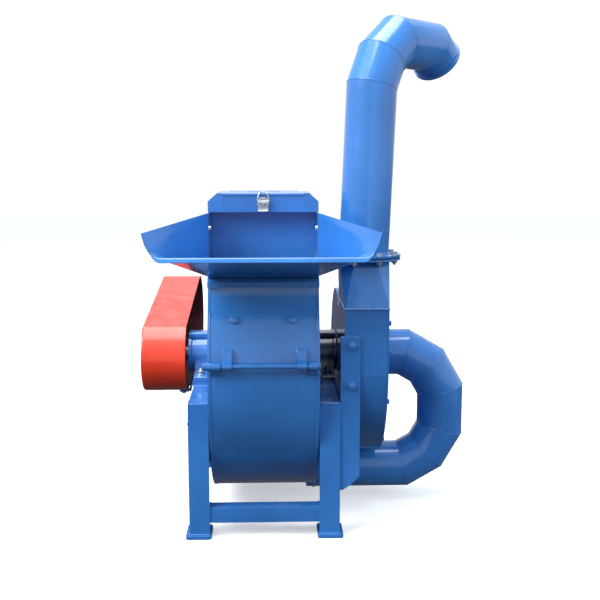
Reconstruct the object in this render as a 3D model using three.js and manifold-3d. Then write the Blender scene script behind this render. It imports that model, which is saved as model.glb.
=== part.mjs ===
// Farm hammer mill with a feed hopper, a belt drive guard and a blower on the rotor shaft.
// Millimetres, +Z up. The mill is drawn with its rotor axis over x, y = 0 and the floor at
// z = 0: +X runs along the shaft towards the blower, +Y points away from the feeding side.
// The finished group is then moved so that its bounding box stands centred on the origin.

import * as THREE from 'three';
import { mergeVertices } from 'three/addons/utils/BufferGeometryUtils.js';
import Module from 'manifold-3d';

const wasm = await Module();
wasm.setup();

// ---------------------------------------------------------------- driving dimensions

const GAP = 0.3; // clearance left between pieces that touch
const DRUM_SIDES = 64; // facets round the casing shell
const DUCT_SIDES = 24; // facets round the ducts

const SHAFT_Z = 456; // rotor axis above the floor
const SPLIT_Z = 502; // joint plane between the lower and the upper casing
const CASING_HALF = 150; // half width of the grinding casing
const DRUM_R = 395; // outer radius of the casing shell
const SHELL = 5; // casing shell plate
const SIDE_PLATE = 6; // casing side plates
const SPLIT_FLANGE = 12; // thickness of each rear joint flange

const BEAM_TOP = 383; // top of the side beams
const FRAME_HALF_Y = 347; // front and rear faces of the legs
const FRAME_OUT = 209; // outer faces of the legs
const ANGLE = 56; // leg and beam angle iron, leg length
const ANGLE_T = 6;
const STRETCHER = { z: [44, 88], inset: 4, plate: 5, shelf: 42 }; // low cross members
const FOOT = { x: [148, 219], front: 9, back: 81, t: 10, hole: { x: 176, inset: 36, r: 7 } };
const PAD = { x: [166, 212], y: 130, top: 396 }; // bearing pads on the side beams

const HINGE_Y = -414; // casing hinge axis
const HINGE_ROD_R = 6.8;
const KNUCKLE_R = 11;

const THROAT_FRONT = -328; // outer faces of the feed throat
const THROAT_BACK = -213;
const THROAT_TOP = 900;
const FLANGE_FRONT_Z = 716; // sloping throat flange at its front edge
const FLANGE_SLOPE = 0.62;
const SHEET = 3; // hopper sheet
const LIP_Y = -560; // front lip of the feed tray
const LIP_Z = 805;
const LIP_HALF = 257;
const LIP_DEPTH = 14;
const WING_FOLD = { half: 277, z: 834, drop: 12 }; // front end of each wing's fold; drop at its rear
const WING_TOP = { half: 292, z: 865 }; // front end of each wing's top edge

const HOOD_HALF = 152;
const HOOD_TOP = 949;
const HOOD_SHOULDER = { half: 130, z: 929 }; // chamfered top corners
const HOOD_CREASE = { half: 113, back: 8 }; // vertical creases near the front corners
const HOOD_Y = [-262, -62];
const HOOD_SHEET = 2.5;
const LID_HALF = 129;
const LID_PIN = { y: -54.5, z: 947, r: 3, barrel: 6 };

const SHAFT_R = 22.5;
const SCREEN_R = 318; // inner radius of the screen
const PIN_CIRCLE = 170; // hammer pins
const PIN_R = 9;
const HAMMER_REACH = 135; // pin to hammer tip
const HAMMER_W = 50;
const HAMMER_T = 6;

const FAN_X = [220, 342]; // outer faces of the blower
const FAN_SHEET = 4;
const SCROLL_R = 332; // scroll radius at the front
const SCROLL_TIGHTEN = 140; // loss of radius over three quarters of a turn
const OUTLET_BACK = -113;
const OUTLET_Z = 640;
const DUCT_R = 70;
const DUCT_WALL = 3;
const DUCT = { x: 281, y: -211 }; // axis of the discharge pipe at its flange
const DUCT_FLANGE_Z = 772;
const DUCT_FLANGE_R = 104;
const DUCT_FLANGE_T = 6;

const LOOP_X = 545; // upright leg of the suction bend
const LOOP_LOW_Z = 99;
const LOOP_R = 160;

const GUARD_X = [-368, -236];
const GUARD_SHEET = 2.5;
const GUARD_BEND = { y: -45, z: 545 }; // fold between the guard's top and its rounded front
const GUARD_NOSE = { y: 0, z: 443, r: 101 };
const GUARD_TAIL = { y: 540, z: 478, r: 150 };

// ---------------------------------------------------------------- materials

function paint(color, roughness = 0.32, metalness = 0.15) {
  return new THREE.MeshStandardMaterial({ color, roughness, metalness });
}

const blue = () => paint('#2f6dc4');
const navy = () => paint('#1b2740', 0.45);
const red = () => paint('#d8331f', 0.28);
const zinc = () => paint('#c9ccd2', 0.3, 0.9);
const steel = () => paint('#8b8f94', 0.42, 0.85);
const castIron = () => paint('#5d6166', 0.6, 0.6);
const rubber = () => paint('#17181a', 0.85, 0);

// ---------------------------------------------------------------- solid helpers

function toSolid(geometry) {
  geometry.deleteAttribute('normal');
  geometry.deleteAttribute('uv');
  const merged = mergeVertices(geometry, 1e-3);
  return new wasm.Manifold(new wasm.Mesh({
    numProp: 3,
    vertProperties: new Float32Array(merged.attributes.position.array),
    triVerts: new Uint32Array(merged.index.array),
  }));
}

function toGeometry(solid) {
  const mesh = solid.getMesh();
  const geometry = new THREE.BufferGeometry();
  const points = new Float32Array(mesh.vertProperties);
  geometry.setAttribute('position', new THREE.BufferAttribute(points, 3));
  geometry.setIndex(new THREE.BufferAttribute(new Uint32Array(mesh.triVerts), 1));
  geometry.computeVertexNormals();
  return geometry;
}

const join = (first, ...rest) => rest.reduce((sum, next) => sum.add(next), first);
const cut = (first, ...rest) => rest.reduce((sum, next) => sum.subtract(next), first);

function block(x, y, z) {
  const [x0, x1] = x[0] < x[1] ? x : [x[1], x[0]];
  const [y0, y1] = y[0] < y[1] ? y : [y[1], y[0]];
  const [z0, z1] = z;
  const geometry = new THREE.BoxGeometry(x1 - x0, y1 - y0, z1 - z0);
  geometry.translate((x0 + x1) / 2, (y0 + y1) / 2, (z0 + z1) / 2);
  return toSolid(geometry);
}

function rodX(radius, x, y, z, sides = 20) {
  const [x0, x1] = x[0] < x[1] ? x : [x[1], x[0]];
  const geometry = new THREE.CylinderGeometry(radius, radius, x1 - x0, sides);
  geometry.rotateZ(-Math.PI / 2);
  geometry.translate((x0 + x1) / 2, y, z);
  return toSolid(geometry);
}

function rodY(radius, x, y, z, sides = 16) {
  const geometry = new THREE.CylinderGeometry(radius, radius, y[1] - y[0], sides);
  geometry.translate(x, (y[0] + y[1]) / 2, z);
  return toSolid(geometry);
}

function rodZ(radius, x, y, z, sides = 20) {
  const geometry = new THREE.CylinderGeometry(radius, radius, z[1] - z[0], sides);
  geometry.rotateX(Math.PI / 2);
  geometry.translate(x, y, (z[0] + z[1]) / 2);
  return toSolid(geometry);
}

function extrude(points, depth) {
  const shape = new THREE.Shape(points.map(([u, v]) => new THREE.Vector2(u, v)));
  return new THREE.ExtrudeGeometry(shape, { depth, bevelEnabled: false, steps: 1 });
}

const Y_Z_TO_X = new THREE.Matrix4().makeBasis(
  new THREE.Vector3(0, 1, 0), new THREE.Vector3(0, 0, 1), new THREE.Vector3(1, 0, 0));
const X_Z_TO_Y = new THREE.Matrix4().makeBasis(
  new THREE.Vector3(1, 0, 0), new THREE.Vector3(0, 0, 1), new THREE.Vector3(0, -1, 0));

// An outline of [y, z] points given thickness along X.
function plateX(points, x) {
  const [x0, x1] = x[0] < x[1] ? x : [x[1], x[0]];
  const geometry = extrude(points, x1 - x0).applyMatrix4(Y_Z_TO_X);
  geometry.translate(x0, 0, 0);
  return toSolid(geometry);
}

// An outline of [x, z] points given thickness along Y.
function plateY(points, y) {
  const geometry = extrude(points, y[1] - y[0]).applyMatrix4(X_Z_TO_Y);
  geometry.translate(0, y[1], 0);
  return toSolid(geometry);
}

// An outline of [x, y] points given thickness along Z.
function plateZ(points, z) {
  const geometry = extrude(points, z[1] - z[0]);
  geometry.translate(0, 0, z[0]);
  return toSolid(geometry);
}

// A profile of [distance along X, radius] points turned about the rotor axis.
function turnedX(profile, sides = 24) {
  const points = profile.map(([along, radius]) => new THREE.Vector2(radius, along));
  const geometry = new THREE.LatheGeometry(points, sides);
  geometry.rotateZ(-Math.PI / 2);
  geometry.translate(0, 0, SHAFT_Z);
  return toSolid(geometry);
}

// A sheet between two edges of points, thickened along a given direction. Seen against that
// direction, the edges run so that its faces point out; inward asks for the opposite winding.
function sheetBetween(edgeA, edgeB, offset, inward = false) {
  const count = edgeA.length;
  const positions = [];
  for (const shift of [[0, 0, 0], offset]) {
    for (const edge of [edgeA, edgeB]) {
      for (const p of edge) {
        positions.push(p[0] + shift[0], p[1] + shift[1], p[2] + shift[2]);
      }
    }
  }
  const a = (layer, edge, i) => (layer * 2 + edge) * count + i;
  const index = [];
  const quad = (p, q, r, s) => index.push(...(inward ? [p, q, r, p, r, s] : [p, r, q, p, s, r]));
  for (let i = 0; i < count - 1; i += 1) {
    quad(a(0, 0, i), a(0, 0, i + 1), a(0, 1, i + 1), a(0, 1, i));
    quad(a(1, 0, i), a(1, 1, i), a(1, 1, i + 1), a(1, 0, i + 1));
    quad(a(0, 0, i), a(1, 0, i), a(1, 0, i + 1), a(0, 0, i + 1));
    quad(a(0, 1, i), a(0, 1, i + 1), a(1, 1, i + 1), a(1, 1, i));
  }
  quad(a(0, 0, 0), a(0, 1, 0), a(1, 1, 0), a(1, 0, 0));
  const n = count - 1;
  quad(a(0, 0, n), a(1, 0, n), a(1, 1, n), a(0, 1, n));
  const geometry = new THREE.BufferGeometry();
  geometry.setAttribute('position', new THREE.Float32BufferAttribute(positions, 3));
  geometry.setIndex(index);
  return toSolid(geometry);
}

// A round bar along a bent line, mitred at every corner.
function mitredBar(path, radius, sides = 32) {
  const dirs = path.slice(1).map((p, i) => p.clone().sub(path[i]).normalize());
  const side = new THREE.Vector3(0, 1, 0).cross(dirs[0]).normalize();
  const up = dirs[0].clone().cross(side);
  let ring = [];
  for (let i = 0; i < sides; i += 1) {
    const t = (2 * Math.PI * i) / sides;
    const spoke = side.clone().multiplyScalar(Math.cos(t) * radius);
    spoke.addScaledVector(up, Math.sin(t) * radius);
    ring.push(path[0].clone().add(spoke));
  }
  const rings = [ring];
  for (let k = 1; k < path.length; k += 1) {
    const dir = dirs[k - 1];
    const normal = dir.clone().add(dirs[k] ?? dir).normalize();
    ring = ring.map((p) => {
      const travel = path[k].clone().sub(p).dot(normal) / dir.dot(normal);
      return p.clone().addScaledVector(dir, travel);
    });
    rings.push(ring);
  }
  const positions = rings.flat().flatMap((p) => [p.x, p.y, p.z]);
  const first = positions.length / 3;
  const ends = [path[0], path[path.length - 1]];
  positions.push(...ends.flatMap((p) => [p.x, p.y, p.z]));
  const index = [];
  const last = (rings.length - 1) * sides;
  for (let i = 0; i < sides; i += 1) {
    const j = (i + 1) % sides;
    for (let k = 0; k < rings.length - 1; k += 1) {
      const a = k * sides;
      const b = a + sides;
      index.push(a + i, a + j, b + j, a + i, b + j, b + i);
    }
    index.push(first, j, i, first + 1, last + i, last + j);
  }
  const geometry = new THREE.BufferGeometry();
  geometry.setAttribute('position', new THREE.Float32BufferAttribute(positions, 3));
  geometry.setIndex(index);
  return toSolid(geometry);
}

// The corner points of a bend of three 30 degree mitres round a 90 degree arc.
function mitreCorners(start, from, to, radius) {
  const step = radius * Math.tan(Math.PI / 12);
  const corners = [];
  const at = start.clone();
  for (let k = 0; k < 3; k += 1) {
    const angle = (k * Math.PI) / 6;
    const dir = from.clone().multiplyScalar(Math.cos(angle));
    dir.addScaledVector(to, Math.sin(angle));
    at.addScaledVector(dir, k === 0 ? step : 2 * step);
    corners.push(at.clone());
  }
  return corners;
}

// ---------------------------------------------------------------- assembly list

const mill = new THREE.Group();

function add(name, solid, material) {
  const mesh = new THREE.Mesh(toGeometry(solid), material);
  mesh.name = name;
  mill.add(mesh);
}

const SIDES = [['left', -1], ['right', 1]];

// ---------------------------------------------------------------- frame

const BRACKET = { half: 16, t: 5, lug: 30, reach: -300 };

function angleLeg(side, front) {
  const outer = side * FRAME_OUT;
  const inner = side * (CASING_HALF + GAP);
  const face = front * FRAME_HALF_Y;
  const z = [FOOT.t + GAP, BEAM_TOP];
  const flange = block([inner, outer], [face, face - front * ANGLE_T], z);
  const web = block([outer - side * ANGLE_T, outer], [face, face - front * ANGLE], z);
  return join(flange, web);
}

// An angle bracket under the belt guard, whose lower edge runs from the nose arc to the tail arc.
function guardBracket(y) {
  const noseBottom = GUARD_NOSE.z - GUARD_NOSE.r;
  const tailBottom = GUARD_TAIL.z - GUARD_TAIL.r;
  const share = (y - GUARD_NOSE.y) / (GUARD_TAIL.y - GUARD_NOSE.y);
  const z = noseBottom + (tailBottom - noseBottom) * share - 5 * GAP;
  const across = [y - BRACKET.half, y + BRACKET.half];
  const inner = -FRAME_OUT + 1;
  const lug = block([-FRAME_OUT - BRACKET.t, inner], across, [z - BRACKET.lug, z]);
  const arm = block([BRACKET.reach, inner], across, [z - BRACKET.t, z]);
  return join(lug, arm);
}

function sideFrame(side) {
  const outer = side * FRAME_OUT;
  const web = [outer - side * ANGLE_T, outer];
  const inner = side * (CASING_HALF + GAP);
  const length = [-FRAME_HALF_Y, FRAME_HALF_Y];
  const top = block([inner, outer], length, [BEAM_TOP - ANGLE_T, BEAM_TOP]);
  const beamWeb = block(web, length, [BEAM_TOP - ANGLE, BEAM_TOP]);
  const pad = block([side * PAD.x[0], side * PAD.x[1]], [-PAD.y, PAD.y], [BEAM_TOP - 1, PAD.top]);
  const frame = join(angleLeg(side, -1), angleLeg(side, 1), top, beamWeb, pad);
  return side < 0 ? join(frame, guardBracket(0), guardBracket(FRAME_HALF_Y - 20)) : frame;
}

function stretcher(front) {
  const { z, inset, plate, shelf } = STRETCHER;
  const face = front * (FRAME_HALF_Y - inset);
  const x = [-CASING_HALF, CASING_HALF];
  const upright = block(x, [face, face - front * plate], z);
  const top = block(x, [face, face - front * shelf], [z[1] - plate, z[1]]);
  return join(upright, top);
}

function footPlate(side, front) {
  const { x, hole, t } = FOOT;
  const y = [front * (FRAME_HALF_Y + FOOT.front), front * (FRAME_HALF_Y - FOOT.back)];
  const plate = block([side * x[0], side * x[1]], y, [0, t]);
  return cut(plate, rodZ(hole.r, side * hole.x, front * (FRAME_HALF_Y - hole.inset), [-1, t + 1], 10));
}

for (const [word, side] of SIDES) {
  add(`frame_${word}`, sideFrame(side), blue());
  add(`foot_front_${word}`, footPlate(side, -1), blue());
  add(`foot_rear_${word}`, footPlate(side, 1), blue());
}
add('front_stretcher', stretcher(-1), blue());
add('rear_stretcher', stretcher(1), blue());

// ---------------------------------------------------------------- casing

const CASING_X = [-CASING_HALF, CASING_HALF];
const CAVITY_X = [-CASING_HALF + SIDE_PLATE, CASING_HALF - SIDE_PLATE];
const drum = rodX(DRUM_R, CASING_X, 0, SHAFT_Z, DRUM_SIDES);
const cavity = rodX(DRUM_R - SHELL, CAVITY_X, 0, SHAFT_Z, DRUM_SIDES);

// Where the flat rear flanges stand, and the open slots for the swing bolts in them.
const REAR_FLANGE = [380, 426];
const SWING = { x: 92, y: 414, z: 444, slot: 8, lug: 13, shank: 6 };
const SWING_PAIR = [-SWING.x, SWING.x];

function rearFlange(z) {
  const depth = [SWING.y - 10, REAR_FLANGE[1] + 10];
  const slots = SWING_PAIR.map(
    (x) => block([x - SWING.slot, x + SWING.slot], depth, [z[0] - 1, z[1] + 1]));
  return cut(block(CASING_X, REAR_FLANGE, z), ...slots);
}

function knuckle(x, leafX, up) {
  const tube = rodX(KNUCKLE_R, x, HINGE_Y, SPLIT_Z, 14);
  const reach = up ? [SPLIT_Z - 2, SPLIT_Z + 40] : [SPLIT_Z - 27, SPLIT_Z + 2];
  const leaf = block(leafX, [-402, -388], reach);
  const neck = block(x, [HINGE_Y, -392], up ? [SPLIT_Z - 2, SPLIT_Z + 9] : [SPLIT_Z - 9, SPLIT_Z + 2]);
  const bore = rodX(HINGE_ROD_R + GAP, [x[0] - 1, x[1] + 1], HINGE_Y, SPLIT_Z, 14);
  return cut(join(tube, leaf, neck), bore);
}

const LOWER_KNUCKLES = [[[-154, -113], [-142, -113]], [[119, 144], [119, 144]]];
const UPPER_KNUCKLES = [[[-109, -84], [-109, -84]], [[88, 114], [88, 114]]];
const SPIGOT = { x: [132, 214], r: DUCT_R };

function swingLug(x) {
  const z = [SWING.z - SWING.lug, SWING.z + SWING.lug];
  const inside = DRUM_R - 12;
  const eye = (from, to) => join(
    rodX(SWING.lug, [from, to], SWING.y, SWING.z, 14),
    block([from, to], [inside, SWING.y], z));
  const outer = SWING.slot + SIDE_PLATE;
  const lugs = join(eye(x - outer, x - SWING.slot), eye(x + SWING.slot, x + outer));
  return join(lugs, block([x - outer, x + outer], [inside, DRUM_R + 3], z));
}

function lowerCasing() {
  const spigot = rodX(SPIGOT.r, SPIGOT.x, 0, LOOP_LOW_Z, DUCT_SIDES);
  let shell = join(drum, spigot, rearFlange([SPLIT_Z - SPLIT_FLANGE, SPLIT_Z - GAP / 2]));
  for (const [x, leafX] of LOWER_KNUCKLES) {
    const bossCut = block([x[0] - 2, x[1] + 2], [-405, -380], [SPLIT_Z, SPLIT_Z + 40]);
    shell = join(shell, cut(knuckle(x, leafX, false), bossCut));
  }
  SWING_PAIR.forEach((x) => {
    shell = join(shell, swingLug(x));
  });
  const bore = rodX(SPIGOT.r - DUCT_WALL, [SPIGOT.x[0] + 4, SPIGOT.x[1] + 1], 0, LOOP_LOW_Z, DUCT_SIDES);
  const shaftHoles = rodX(SHAFT_R + 3.5, [-200, 200], 0, SHAFT_Z, 24);
  shell = cut(shell, cavity, bore, shaftHoles);
  const pinHoles = SWING_PAIR.map((x) => rodX(SWING.shank + 0.5, [x - 20, x + 20], SWING.y, SWING.z, 10));
  shell = cut(shell, ...pinHoles);
  const upperHalf = block(CASING_X, [-DRUM_R - 1, DRUM_R + 1], [SPLIT_Z - GAP / 2, 1000]);
  shell = cut(shell, upperHalf);
  return join(shell, screenRail(-1), screenRail(1));
}

// A ledge along the inside of each side plate that the screen's edge rests on.
function screenRail(side) {
  const edge = CASING_HALF - SIDE_PLATE;
  const x = [side * (edge - 10), side * (edge + 1)];
  const ring = cut(rodX(SCREEN_R + 14, x, 0, SHAFT_Z, DRUM_SIDES),
    rodX(SCREEN_R + 4.6, [-300, 300], 0, SHAFT_Z, DRUM_SIDES));
  return cut(ring, block([-300, 300], [-400, 400], [SHAFT_Z - 20, 1000]));
}

const flangeZ = (y) => FLANGE_FRONT_Z + (y - THROAT_FRONT) * FLANGE_SLOPE;

function slopingFlange(y, from, to, half) {
  const points = [
    [y[0], flangeZ(y[0]) + from], [y[1], flangeZ(y[1]) + from],
    [y[1], flangeZ(y[1]) + to], [y[0], flangeZ(y[0]) + to]];
  return plateX(points, [-half, half]);
}

const LINER_BOLT = { x: 78, z: 618, r: 6.5 };
const THROAT_BORE = [[THROAT_FRONT + 4, THROAT_BACK - 4], [-CASING_HALF + 4, CASING_HALF - 4]];
const TOP_BOX_Y = [THROAT_BACK + GAP, -64];

function upperCasing() {
  const neckPoints = [
    [THROAT_FRONT, 600], [THROAT_FRONT, flangeZ(THROAT_FRONT) - GAP],
    [THROAT_BACK - GAP, flangeZ(THROAT_BACK) - GAP], [THROAT_BACK - GAP, 600]];
  const neck = plateX(neckPoints, CASING_X);
  const flange = slopingFlange([THROAT_FRONT - 12, THROAT_BACK - GAP], -6 - GAP, -GAP, 153);
  const topBox = block(CASING_X, TOP_BOX_Y, [700, THROAT_TOP]);
  let body = join(drum, neck, flange, topBox,
    rearFlange([SPLIT_Z + GAP / 2, SPLIT_Z + SPLIT_FLANGE]));
  const throat = block(THROAT_BORE[1], THROAT_BORE[0], [560, 900]);
  const boxBore = block([-146, 146], [TOP_BOX_Y[0] + 4, TOP_BOX_Y[1] - 4], [870, 950]);
  const boxInside = cut(block([-146, 146], [TOP_BOX_Y[0] + 4, TOP_BOX_Y[1] - 4], [560, 950]),
    rodX(DRUM_R, [-300, 300], 0, SHAFT_Z, DRUM_SIDES));
  const grainInlet = block([-110, 110], [-190, -90], [560, 900]);
  body = cut(body, cavity, throat, boxBore, boxInside, grainInlet);
  body = cut(body, block([-400, 400], [-DRUM_R - 2, DRUM_R + 60], [-100, SPLIT_Z + GAP / 2]));
  for (const [x, leafX] of UPPER_KNUCKLES) {
    const under = block([x[0] - 2, x[1] + 2], [-405, -380], [SPLIT_Z - 40, SPLIT_Z + GAP / 2]);
    const inside = rodX(DRUM_R - 1, [-300, 300], 0, SHAFT_Z, DRUM_SIDES);
    body = join(body, cut(knuckle(x, leafX, true), under, inside));
  }
  for (const x of [-LINER_BOLT.x, LINER_BOLT.x]) {
    body = cut(body, rodY(LINER_BOLT.r, x, [-420, -330], LINER_BOLT.z, 12));
  }
  return body;
}

function ringSector(inner, outer, x, fromDegrees, toDegrees) {
  const points = [];
  const steps = Math.ceil((toDegrees - fromDegrees) / 6);
  for (const [radius, flip] of [[outer, false], [inner, true]]) {
    for (let i = 0; i <= steps; i += 1) {
      const share = flip ? 1 - i / steps : i / steps;
      const angle = THREE.MathUtils.degToRad(fromDegrees + share * (toDegrees - fromDegrees));
      points.push([-radius * Math.cos(angle), SHAFT_Z + radius * Math.sin(angle)]);
    }
  }
  return plateX(points, x);
}

function linerPlate() {
  const outer = DRUM_R - SHELL - 1;
  const plate = ringSector(outer - 8, outer, [-140, 140], 8, 33);
  const bolts = [-LINER_BOLT.x, LINER_BOLT.x].map(
    (x) => rodY(LINER_BOLT.r, x, [-420, -320], LINER_BOLT.z, 12));
  return cut(plate, ...bolts);
}

function hingeRod() {
  const rod = rodX(HINGE_ROD_R, [-154, 157], HINGE_Y, SPLIT_Z, 14);
  const heads = [[-160, -154 - GAP], [145, 150]].map((x) => rodX(9.5, x, HINGE_Y, SPLIT_Z, 14));
  return join(rod, block([-156, -153], [HINGE_Y - 4, HINGE_Y + 4], [SPLIT_Z - 4, SPLIT_Z + 4]), ...heads);
}

function swingBolt(x) {
  const flangeTop = SPLIT_Z + SPLIT_FLANGE;
  const eyeHalf = SWING.slot - 0.5;
  const eye = rodX(SWING.lug - 1, [x - eyeHalf, x + eyeHalf], SWING.y, SWING.z, 14);
  const shank = rodZ(SWING.shank, x, SWING.y, [SWING.z, flangeTop + 36], 12);
  const nut = rodZ(11, x, SWING.y, [flangeTop + 1.5, flangeTop + 12], 6);
  const pin = rodX(SWING.shank, [x - 15, x + 15], SWING.y, SWING.z, 10);
  return join(eye, shank, nut, pin);
}

add('lower_casing', lowerCasing(), blue());
add('upper_casing', upperCasing(), blue());
add('liner_plate', linerPlate(), steel());
add('screen', ringSector(SCREEN_R, SCREEN_R + 3, [-142, 142], -176, -4), steel());
add('hinge_rod', hingeRod(), blue());
add('swing_bolt_left', swingBolt(-SWING.x), zinc());
add('swing_bolt_right', swingBolt(SWING.x), zinc());

// ---------------------------------------------------------------- feed hopper

const TRAY_BACK = { y: THROAT_FRONT - GAP, z: 733, half: 149 };

function hopperThroat() {
  const wallPoints = [
    [THROAT_FRONT, flangeZ(THROAT_FRONT)], [THROAT_FRONT, THROAT_TOP],
    [THROAT_BACK, THROAT_TOP], [THROAT_BACK, flangeZ(THROAT_BACK)]];
  const walls = plateX(wallPoints, CASING_X);
  const flange = slopingFlange([THROAT_FRONT - 12, THROAT_BACK], 0, 6, 153);
  const body = join(walls, flange);
  const bore = block(THROAT_BORE[1], THROAT_BORE[0], [600, 1000]);
  const mouth = block([-146, 146], [THROAT_FRONT - 30, THROAT_FRONT + 20], [TRAY_BACK.z + SHEET, 1000]);
  return cut(body, bore, mouth, rodX(DRUM_R + GAP, [-300, 300], 0, SHAFT_Z, DRUM_SIDES));
}

function feedTray() {
  const top = [
    [-LIP_HALF, LIP_Y, LIP_Z], [LIP_HALF, LIP_Y, LIP_Z]];
  const back = [
    [-TRAY_BACK.half, TRAY_BACK.y, TRAY_BACK.z], [TRAY_BACK.half, TRAY_BACK.y, TRAY_BACK.z]];
  const floor = sheetBetween(top, back, [0, 0, SHEET]);
  const lip = plateY([
    [-LIP_HALF, LIP_Z + SHEET], [-LIP_HALF + 9, LIP_Z + SHEET - LIP_DEPTH],
    [LIP_HALF - 9, LIP_Z + SHEET - LIP_DEPTH], [LIP_HALF, LIP_Z + SHEET]],
  [LIP_Y - SHEET, LIP_Y + 0.5]);
  return join(floor, lip);
}

function wing(side) {
  const at = (x, y, z) => [side * x, y, z];
  const root = CASING_HALF + SHEET / 2;
  const lower = [
    at(LIP_HALF + 1.5, LIP_Y, LIP_Z + SHEET), at(TRAY_BACK.half + 1.5, TRAY_BACK.y, TRAY_BACK.z)];
  const fold = [at(WING_FOLD.half, LIP_Y, WING_FOLD.z), at(root, THROAT_FRONT, THROAT_TOP - WING_FOLD.drop)];
  const top = [at(WING_TOP.half, LIP_Y, WING_TOP.z), at(root, THROAT_FRONT, THROAT_TOP + 1)];
  const out = [side * SHEET, 0, 0];
  const subdivide = ([a, b]) => {
    const edge = [];
    for (let i = 0; i <= 4; i += 1) {
      edge.push(a.map((value, k) => value + ((b[k] - value) * i) / 4));
    }
    return edge;
  };
  const panel = sheetBetween(subdivide(lower), subdivide(fold), out, side < 0);
  const strip = sheetBetween(subdivide(fold), subdivide(top), out, side < 0);
  const tabZ = [TRAY_BACK.z + 12, THROAT_TOP - 12];
  const tab = block([side * (CASING_HALF + GAP), side * (CASING_HALF + 5)],
    [THROAT_FRONT - 5, THROAT_FRONT + 22], tabZ);
  return join(panel, strip, tab);
}

function hoodOutline(inset, bottom, top) {
  const half = HOOD_HALF - inset;
  const cornerX = HOOD_SHOULDER.half - inset * 0.4;
  const cornerZ = HOOD_SHOULDER.z - inset * 0.4;
  const mouth = HOOD_SHOULDER.half - inset;
  return [
    [-half, bottom], [half, bottom], [half, cornerZ], [cornerX, HOOD_TOP - inset],
    [mouth, top], [-mouth, top], [-cornerX, HOOD_TOP - inset], [-half, cornerZ]];
}

function hoodPlan(inset) {
  const half = HOOD_HALF - inset;
  const [front, back] = HOOD_Y;
  return [
    [-half, front + HOOD_CREASE.back + inset], [-HOOD_CREASE.half, front + inset],
    [HOOD_CREASE.half, front + inset], [half, front + HOOD_CREASE.back + inset],
    [half, back - inset], [-half, back - inset]];
}

function hood() {
  const box = (inset, bottom, top) => plateY(hoodOutline(inset, bottom, top), [-300, 0])
    .intersect(plateZ(hoodPlan(inset), [bottom - 1, top + 1]));
  const shell = cut(box(0, THROAT_TOP + GAP, HOOD_TOP), box(HOOD_SHEET, THROAT_TOP - 5, HOOD_TOP + 20));
  const ears = [[-100, -49], [49, 100]].map((x) => cut(
    join(rodX(LID_PIN.barrel, x, LID_PIN.y, LID_PIN.z, 12),
      block(x, [HOOD_Y[1] - 1, LID_PIN.y], [LID_PIN.z - LID_PIN.barrel, LID_PIN.z])),
    rodX(LID_PIN.r + GAP, [x[0] - 1, x[1] + 1], LID_PIN.y, LID_PIN.z, 12)));
  return join(shell, ...ears);
}

function hoodLid() {
  const z = [HOOD_TOP + GAP, HOOD_TOP + GAP + HOOD_SHEET];
  const front = HOOD_Y[0] - GAP;
  const creased = HOOD_CREASE.half - 1;
  const sheet = block([-LID_HALF, LID_HALF], [front - HOOD_SHEET, HOOD_Y[1]], z);
  const turnDown = block([-creased, creased], [front - HOOD_SHEET, front], [HOOD_TOP - 8, z[1]]);
  const corners = [-1, 1].map((side) => plateZ([
    [side * creased, front - 5], [side * (LID_HALF + 6), front - 5], [side * (LID_HALF + 6), front + 8]]
    .sort((a, b) => side * (a[0] - b[0])), [z[0] - 1, z[1] + 1]));
  const barrel = cut(
    join(rodX(LID_PIN.barrel, [-48, 48], LID_PIN.y, LID_PIN.z, 12),
      block([-48, 48], [HOOD_Y[1] - 3, LID_PIN.y], [HOOD_TOP + GAP, LID_PIN.z + LID_PIN.barrel])),
    rodX(LID_PIN.r + GAP, [-60, 60], LID_PIN.y, LID_PIN.z, 12));
  const ridge = block([-7, 7], [front - HOOD_SHEET, front], [z[1] - 0.5, z[1] + 1.5]);
  return join(cut(join(sheet, turnDown), ...corners), barrel, ridge);
}

// Toggle latch on the hood front: base, lever turning on it, and wire bail to the lid.
const LATCH_FACE = HOOD_Y[0] - GAP;
const LEVER_PIN = { y: LATCH_FACE - 6.5, z: 928 };
const BAIL_PIN = { y: LATCH_FACE - 8.5, z: 919.5 };

function latchBase() {
  const plate = block([-14, 14], [LATCH_FACE - 2, LATCH_FACE], [902, 934]);
  const cheeks = [[-14, -12], [12, 14]].map((x) => block(x, [LATCH_FACE - 10, LATCH_FACE - 1], [922, 934]));
  return cut(join(plate, ...cheeks), rodX(2.3, [-20, 20], LEVER_PIN.y, LEVER_PIN.z, 10));
}

function latchLever() {
  const axle = rodX(2, [-15.5, 15.5], LEVER_PIN.y, LEVER_PIN.z, 10);
  const boss = rodX(4, [-11.7, 11.7], LEVER_PIN.y, LEVER_PIN.z, 12);
  const blade = block([-11.7, 11.7], [LEVER_PIN.y - 8, LEVER_PIN.y - 5.5], [904, 932]);
  const arms = [[-11.7, -9.5], [9.5, 11.7]].map(
    (x) => block(x, [LEVER_PIN.y - 6, LEVER_PIN.y + 2], [LEVER_PIN.z - 12, LEVER_PIN.z + 4]));
  const bridge = block([-11.7, 11.7], [LEVER_PIN.y - 6, LEVER_PIN.y], [LEVER_PIN.z, LEVER_PIN.z + 4]);
  const bailHoles = rodX(1.9, [-20, 20], BAIL_PIN.y, BAIL_PIN.z, 8);
  return cut(join(axle, boss, blade, bridge, ...arms), bailHoles);
}

function latchBail() {
  const wire = 1.6;
  const barY = HOOD_Y[0] + 4;
  const barZ = HOOD_TOP + GAP + HOOD_SHEET + wire + GAP;
  const side = 17.6;
  const loop = [-1, 1].map((sign) => {
    const p = (x, y, z) => new THREE.Vector3(sign * x, y, z);
    return mitredBar([
      p(9.2, BAIL_PIN.y, BAIL_PIN.z), p(side, BAIL_PIN.y, BAIL_PIN.z),
      p(side, BAIL_PIN.y - 1, barZ + 3), p(side, barY, barZ), p(0, barY, barZ)], wire, 8);
  });
  return join(...loop);
}

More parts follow.
